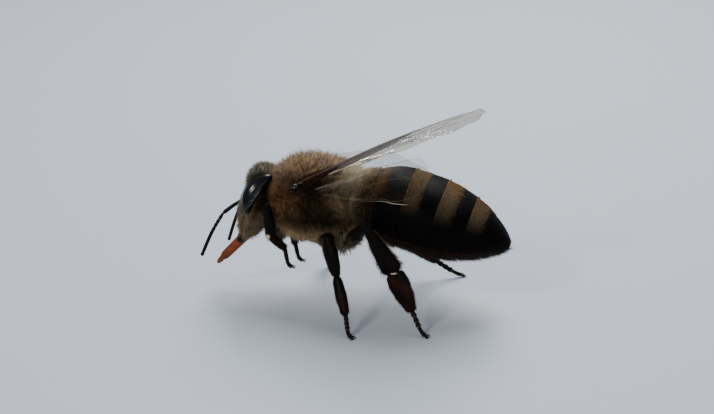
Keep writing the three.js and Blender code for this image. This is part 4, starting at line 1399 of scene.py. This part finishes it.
# The coat darkens down the sides, a painted shade, save at the waist, whose pale hair reaches lower.
shade = 0.3 + 0.7 * np.maximum(smooth(0.1, 0.9, up), (1 - fade) * smooth(-0.1, 0.3, up) * 0.8)
root_tint = mix(TAN * 0.35, WARM_BROWN * 0.4, fade) * shade[:, None]
tip_tint = mix(TAN * 1.1, mix(GOLD, TAN, 0.5) * 0.42, fade) * shade[:, None]
coat(
    "abdomen_front_coat", hair, roots, roots.along * 0.75 + np.outer(1 - fade, [-0.35, 0, 0.35]),
    0.4 - 0.26 * fade, 0.011, (root_tint, tip_tint), lift=0.85 - 0.5 * fade, curl=0.15, mess=0.2,
    tuft=(12, 0.5),
)

BAND_HAIRS = (17000, 17000, 12000)
for band, (start, wide, count) in enumerate(zip(RING_ENDS[2:5], BAND_WIDTHS, BAND_HAIRS)):
    brim = lambda t, a: smooth(start + 0.014, start + 0.002, t) * smooth(-0.1, 0.6, np.sin(a))
    felt = lambda t, a, p, n: 0.02 + band_cover(t, a) + brim(t, a)
    roots = grow(abdomen, int(count * many), felt, (start - 0.006, start + wide * 1.15))
    up = roots.n[:, 2]
    # The felt darkens down the sides, a painted shade, and is lighter where it faces straight up, more on
    # the rear bands, a painted highlight.
    shade = 0.02 + 0.83 * smooth(0.15, 1.0, up) + 0.3 * smooth(0.84, 0.98, up + 0.12 * band)
    colour = mix(TAN * 0.9, GOLD * 0.8, 0.5 + 0.5 * waves(roots.p, 0.7, 20 + band)) * shade[:, None]
    coat(
        f"abdomen_band_{band + 3}", hair, roots, roots.along, 0.15, 0.0105, (colour * 0.4, colour),
        lift=0.2, curl=0.0, mess=0.16, rings=0,
    )

mostly_under = lambda t, a, p, n: 0.35 + smooth(0.2, -0.9, n[..., 2])
roots = grow(abdomen, int(11000 * many), mostly_under, (0.2, 0.985))
under = smooth(-0.1, -0.6, roots.n[:, 2])
colour = mix(DEEP_BROWN * 0.6, WARM_BROWN * 0.6, under)
coat(
    "abdomen_sparse_hair", fine_hair, roots, roots.along * 0.9, 0.11 + 0.17 * under, 0.0065,
    (colour * 0.5, colour), lift=0.3 + 0.3 * under, curl=0.05, mess=0.2, rings=0,
)

# ---------------------------------------------------------------- stage

floor_mesh = bpy.data.meshes.new("floor")
HALF_FLOOR = 0.6  # m
corners = [(x * HALF_FLOOR, y * HALF_FLOOR, 0) for x, y in ((-1, -1), (1, -1), (1, 1), (-1, 1))]
floor_mesh.from_pydata(corners, [], [(0, 1, 2, 3)])
floor = bpy.data.objects.new("floor", floor_mesh)
bpy.context.scene.collection.objects.link(floor)
ground = Look("pale_floor", Base_Color=(0.5, 0.545, 0.6, 1), Roughness=0.6, Specular_IOR_Level=0.2)
floor_mesh.materials.append(ground.mat)

world = bpy.data.worlds.new("studio")
bpy.context.scene.world = world
world.use_nodes = True
sky = world.node_tree.nodes["Background"]
sky.inputs["Color"].default_value = (0.8, 0.88, 1.0, 1)
sky.inputs["Strength"].default_value = 0.36
LAMP_TARGET = Vector((0, 0, 4.5))


def lamp(name, place, power, size, colour=(1, 1, 1)):
    data = bpy.data.lights.new(name, "AREA")
    data.energy = power
    data.size = size * MM
    data.color = colour
    obj = bpy.data.objects.new(name, data)
    bpy.context.scene.collection.objects.link(obj)
    obj.location = Vector(place) * MM
    obj.rotation_euler = (LAMP_TARGET - Vector(place)).to_track_quat("-Z", "Y").to_euler()


lamp("sky", (10, 40, 110), 0.13, 70, (0.93, 0.97, 1.0))
lamp("rim", (-5, 90, 85), 0.075, 50, (1.0, 0.98, 0.94))
lamp("fill", (-42, -88, 72), 0.045, 14, (1.0, 0.97, 0.93))
lamp("spark", (10, -100, 40), 0.014, 5)

camera = bpy.data.cameras.new("camera")
camera.lens = 82.4
camera.sensor_width = 36
camera.clip_start = 0.003
camera.clip_end = 5
view = bpy.data.objects.new("camera", camera)
bpy.context.scene.collection.objects.link(view)
azimuth, elevation, distance = math.radians(12), math.radians(20), 75
target = Vector((0, 0, 4.73)) - Vector(SHIFT)
level = math.cos(elevation)
back = Vector((math.sin(azimuth) * level, -math.cos(azimuth) * level, math.sin(elevation)))
view.location = (target + back * distance) * MM
view.rotation_euler = (-back).to_track_quat("-Z", "Y").to_euler()
bpy.context.scene.camera = view
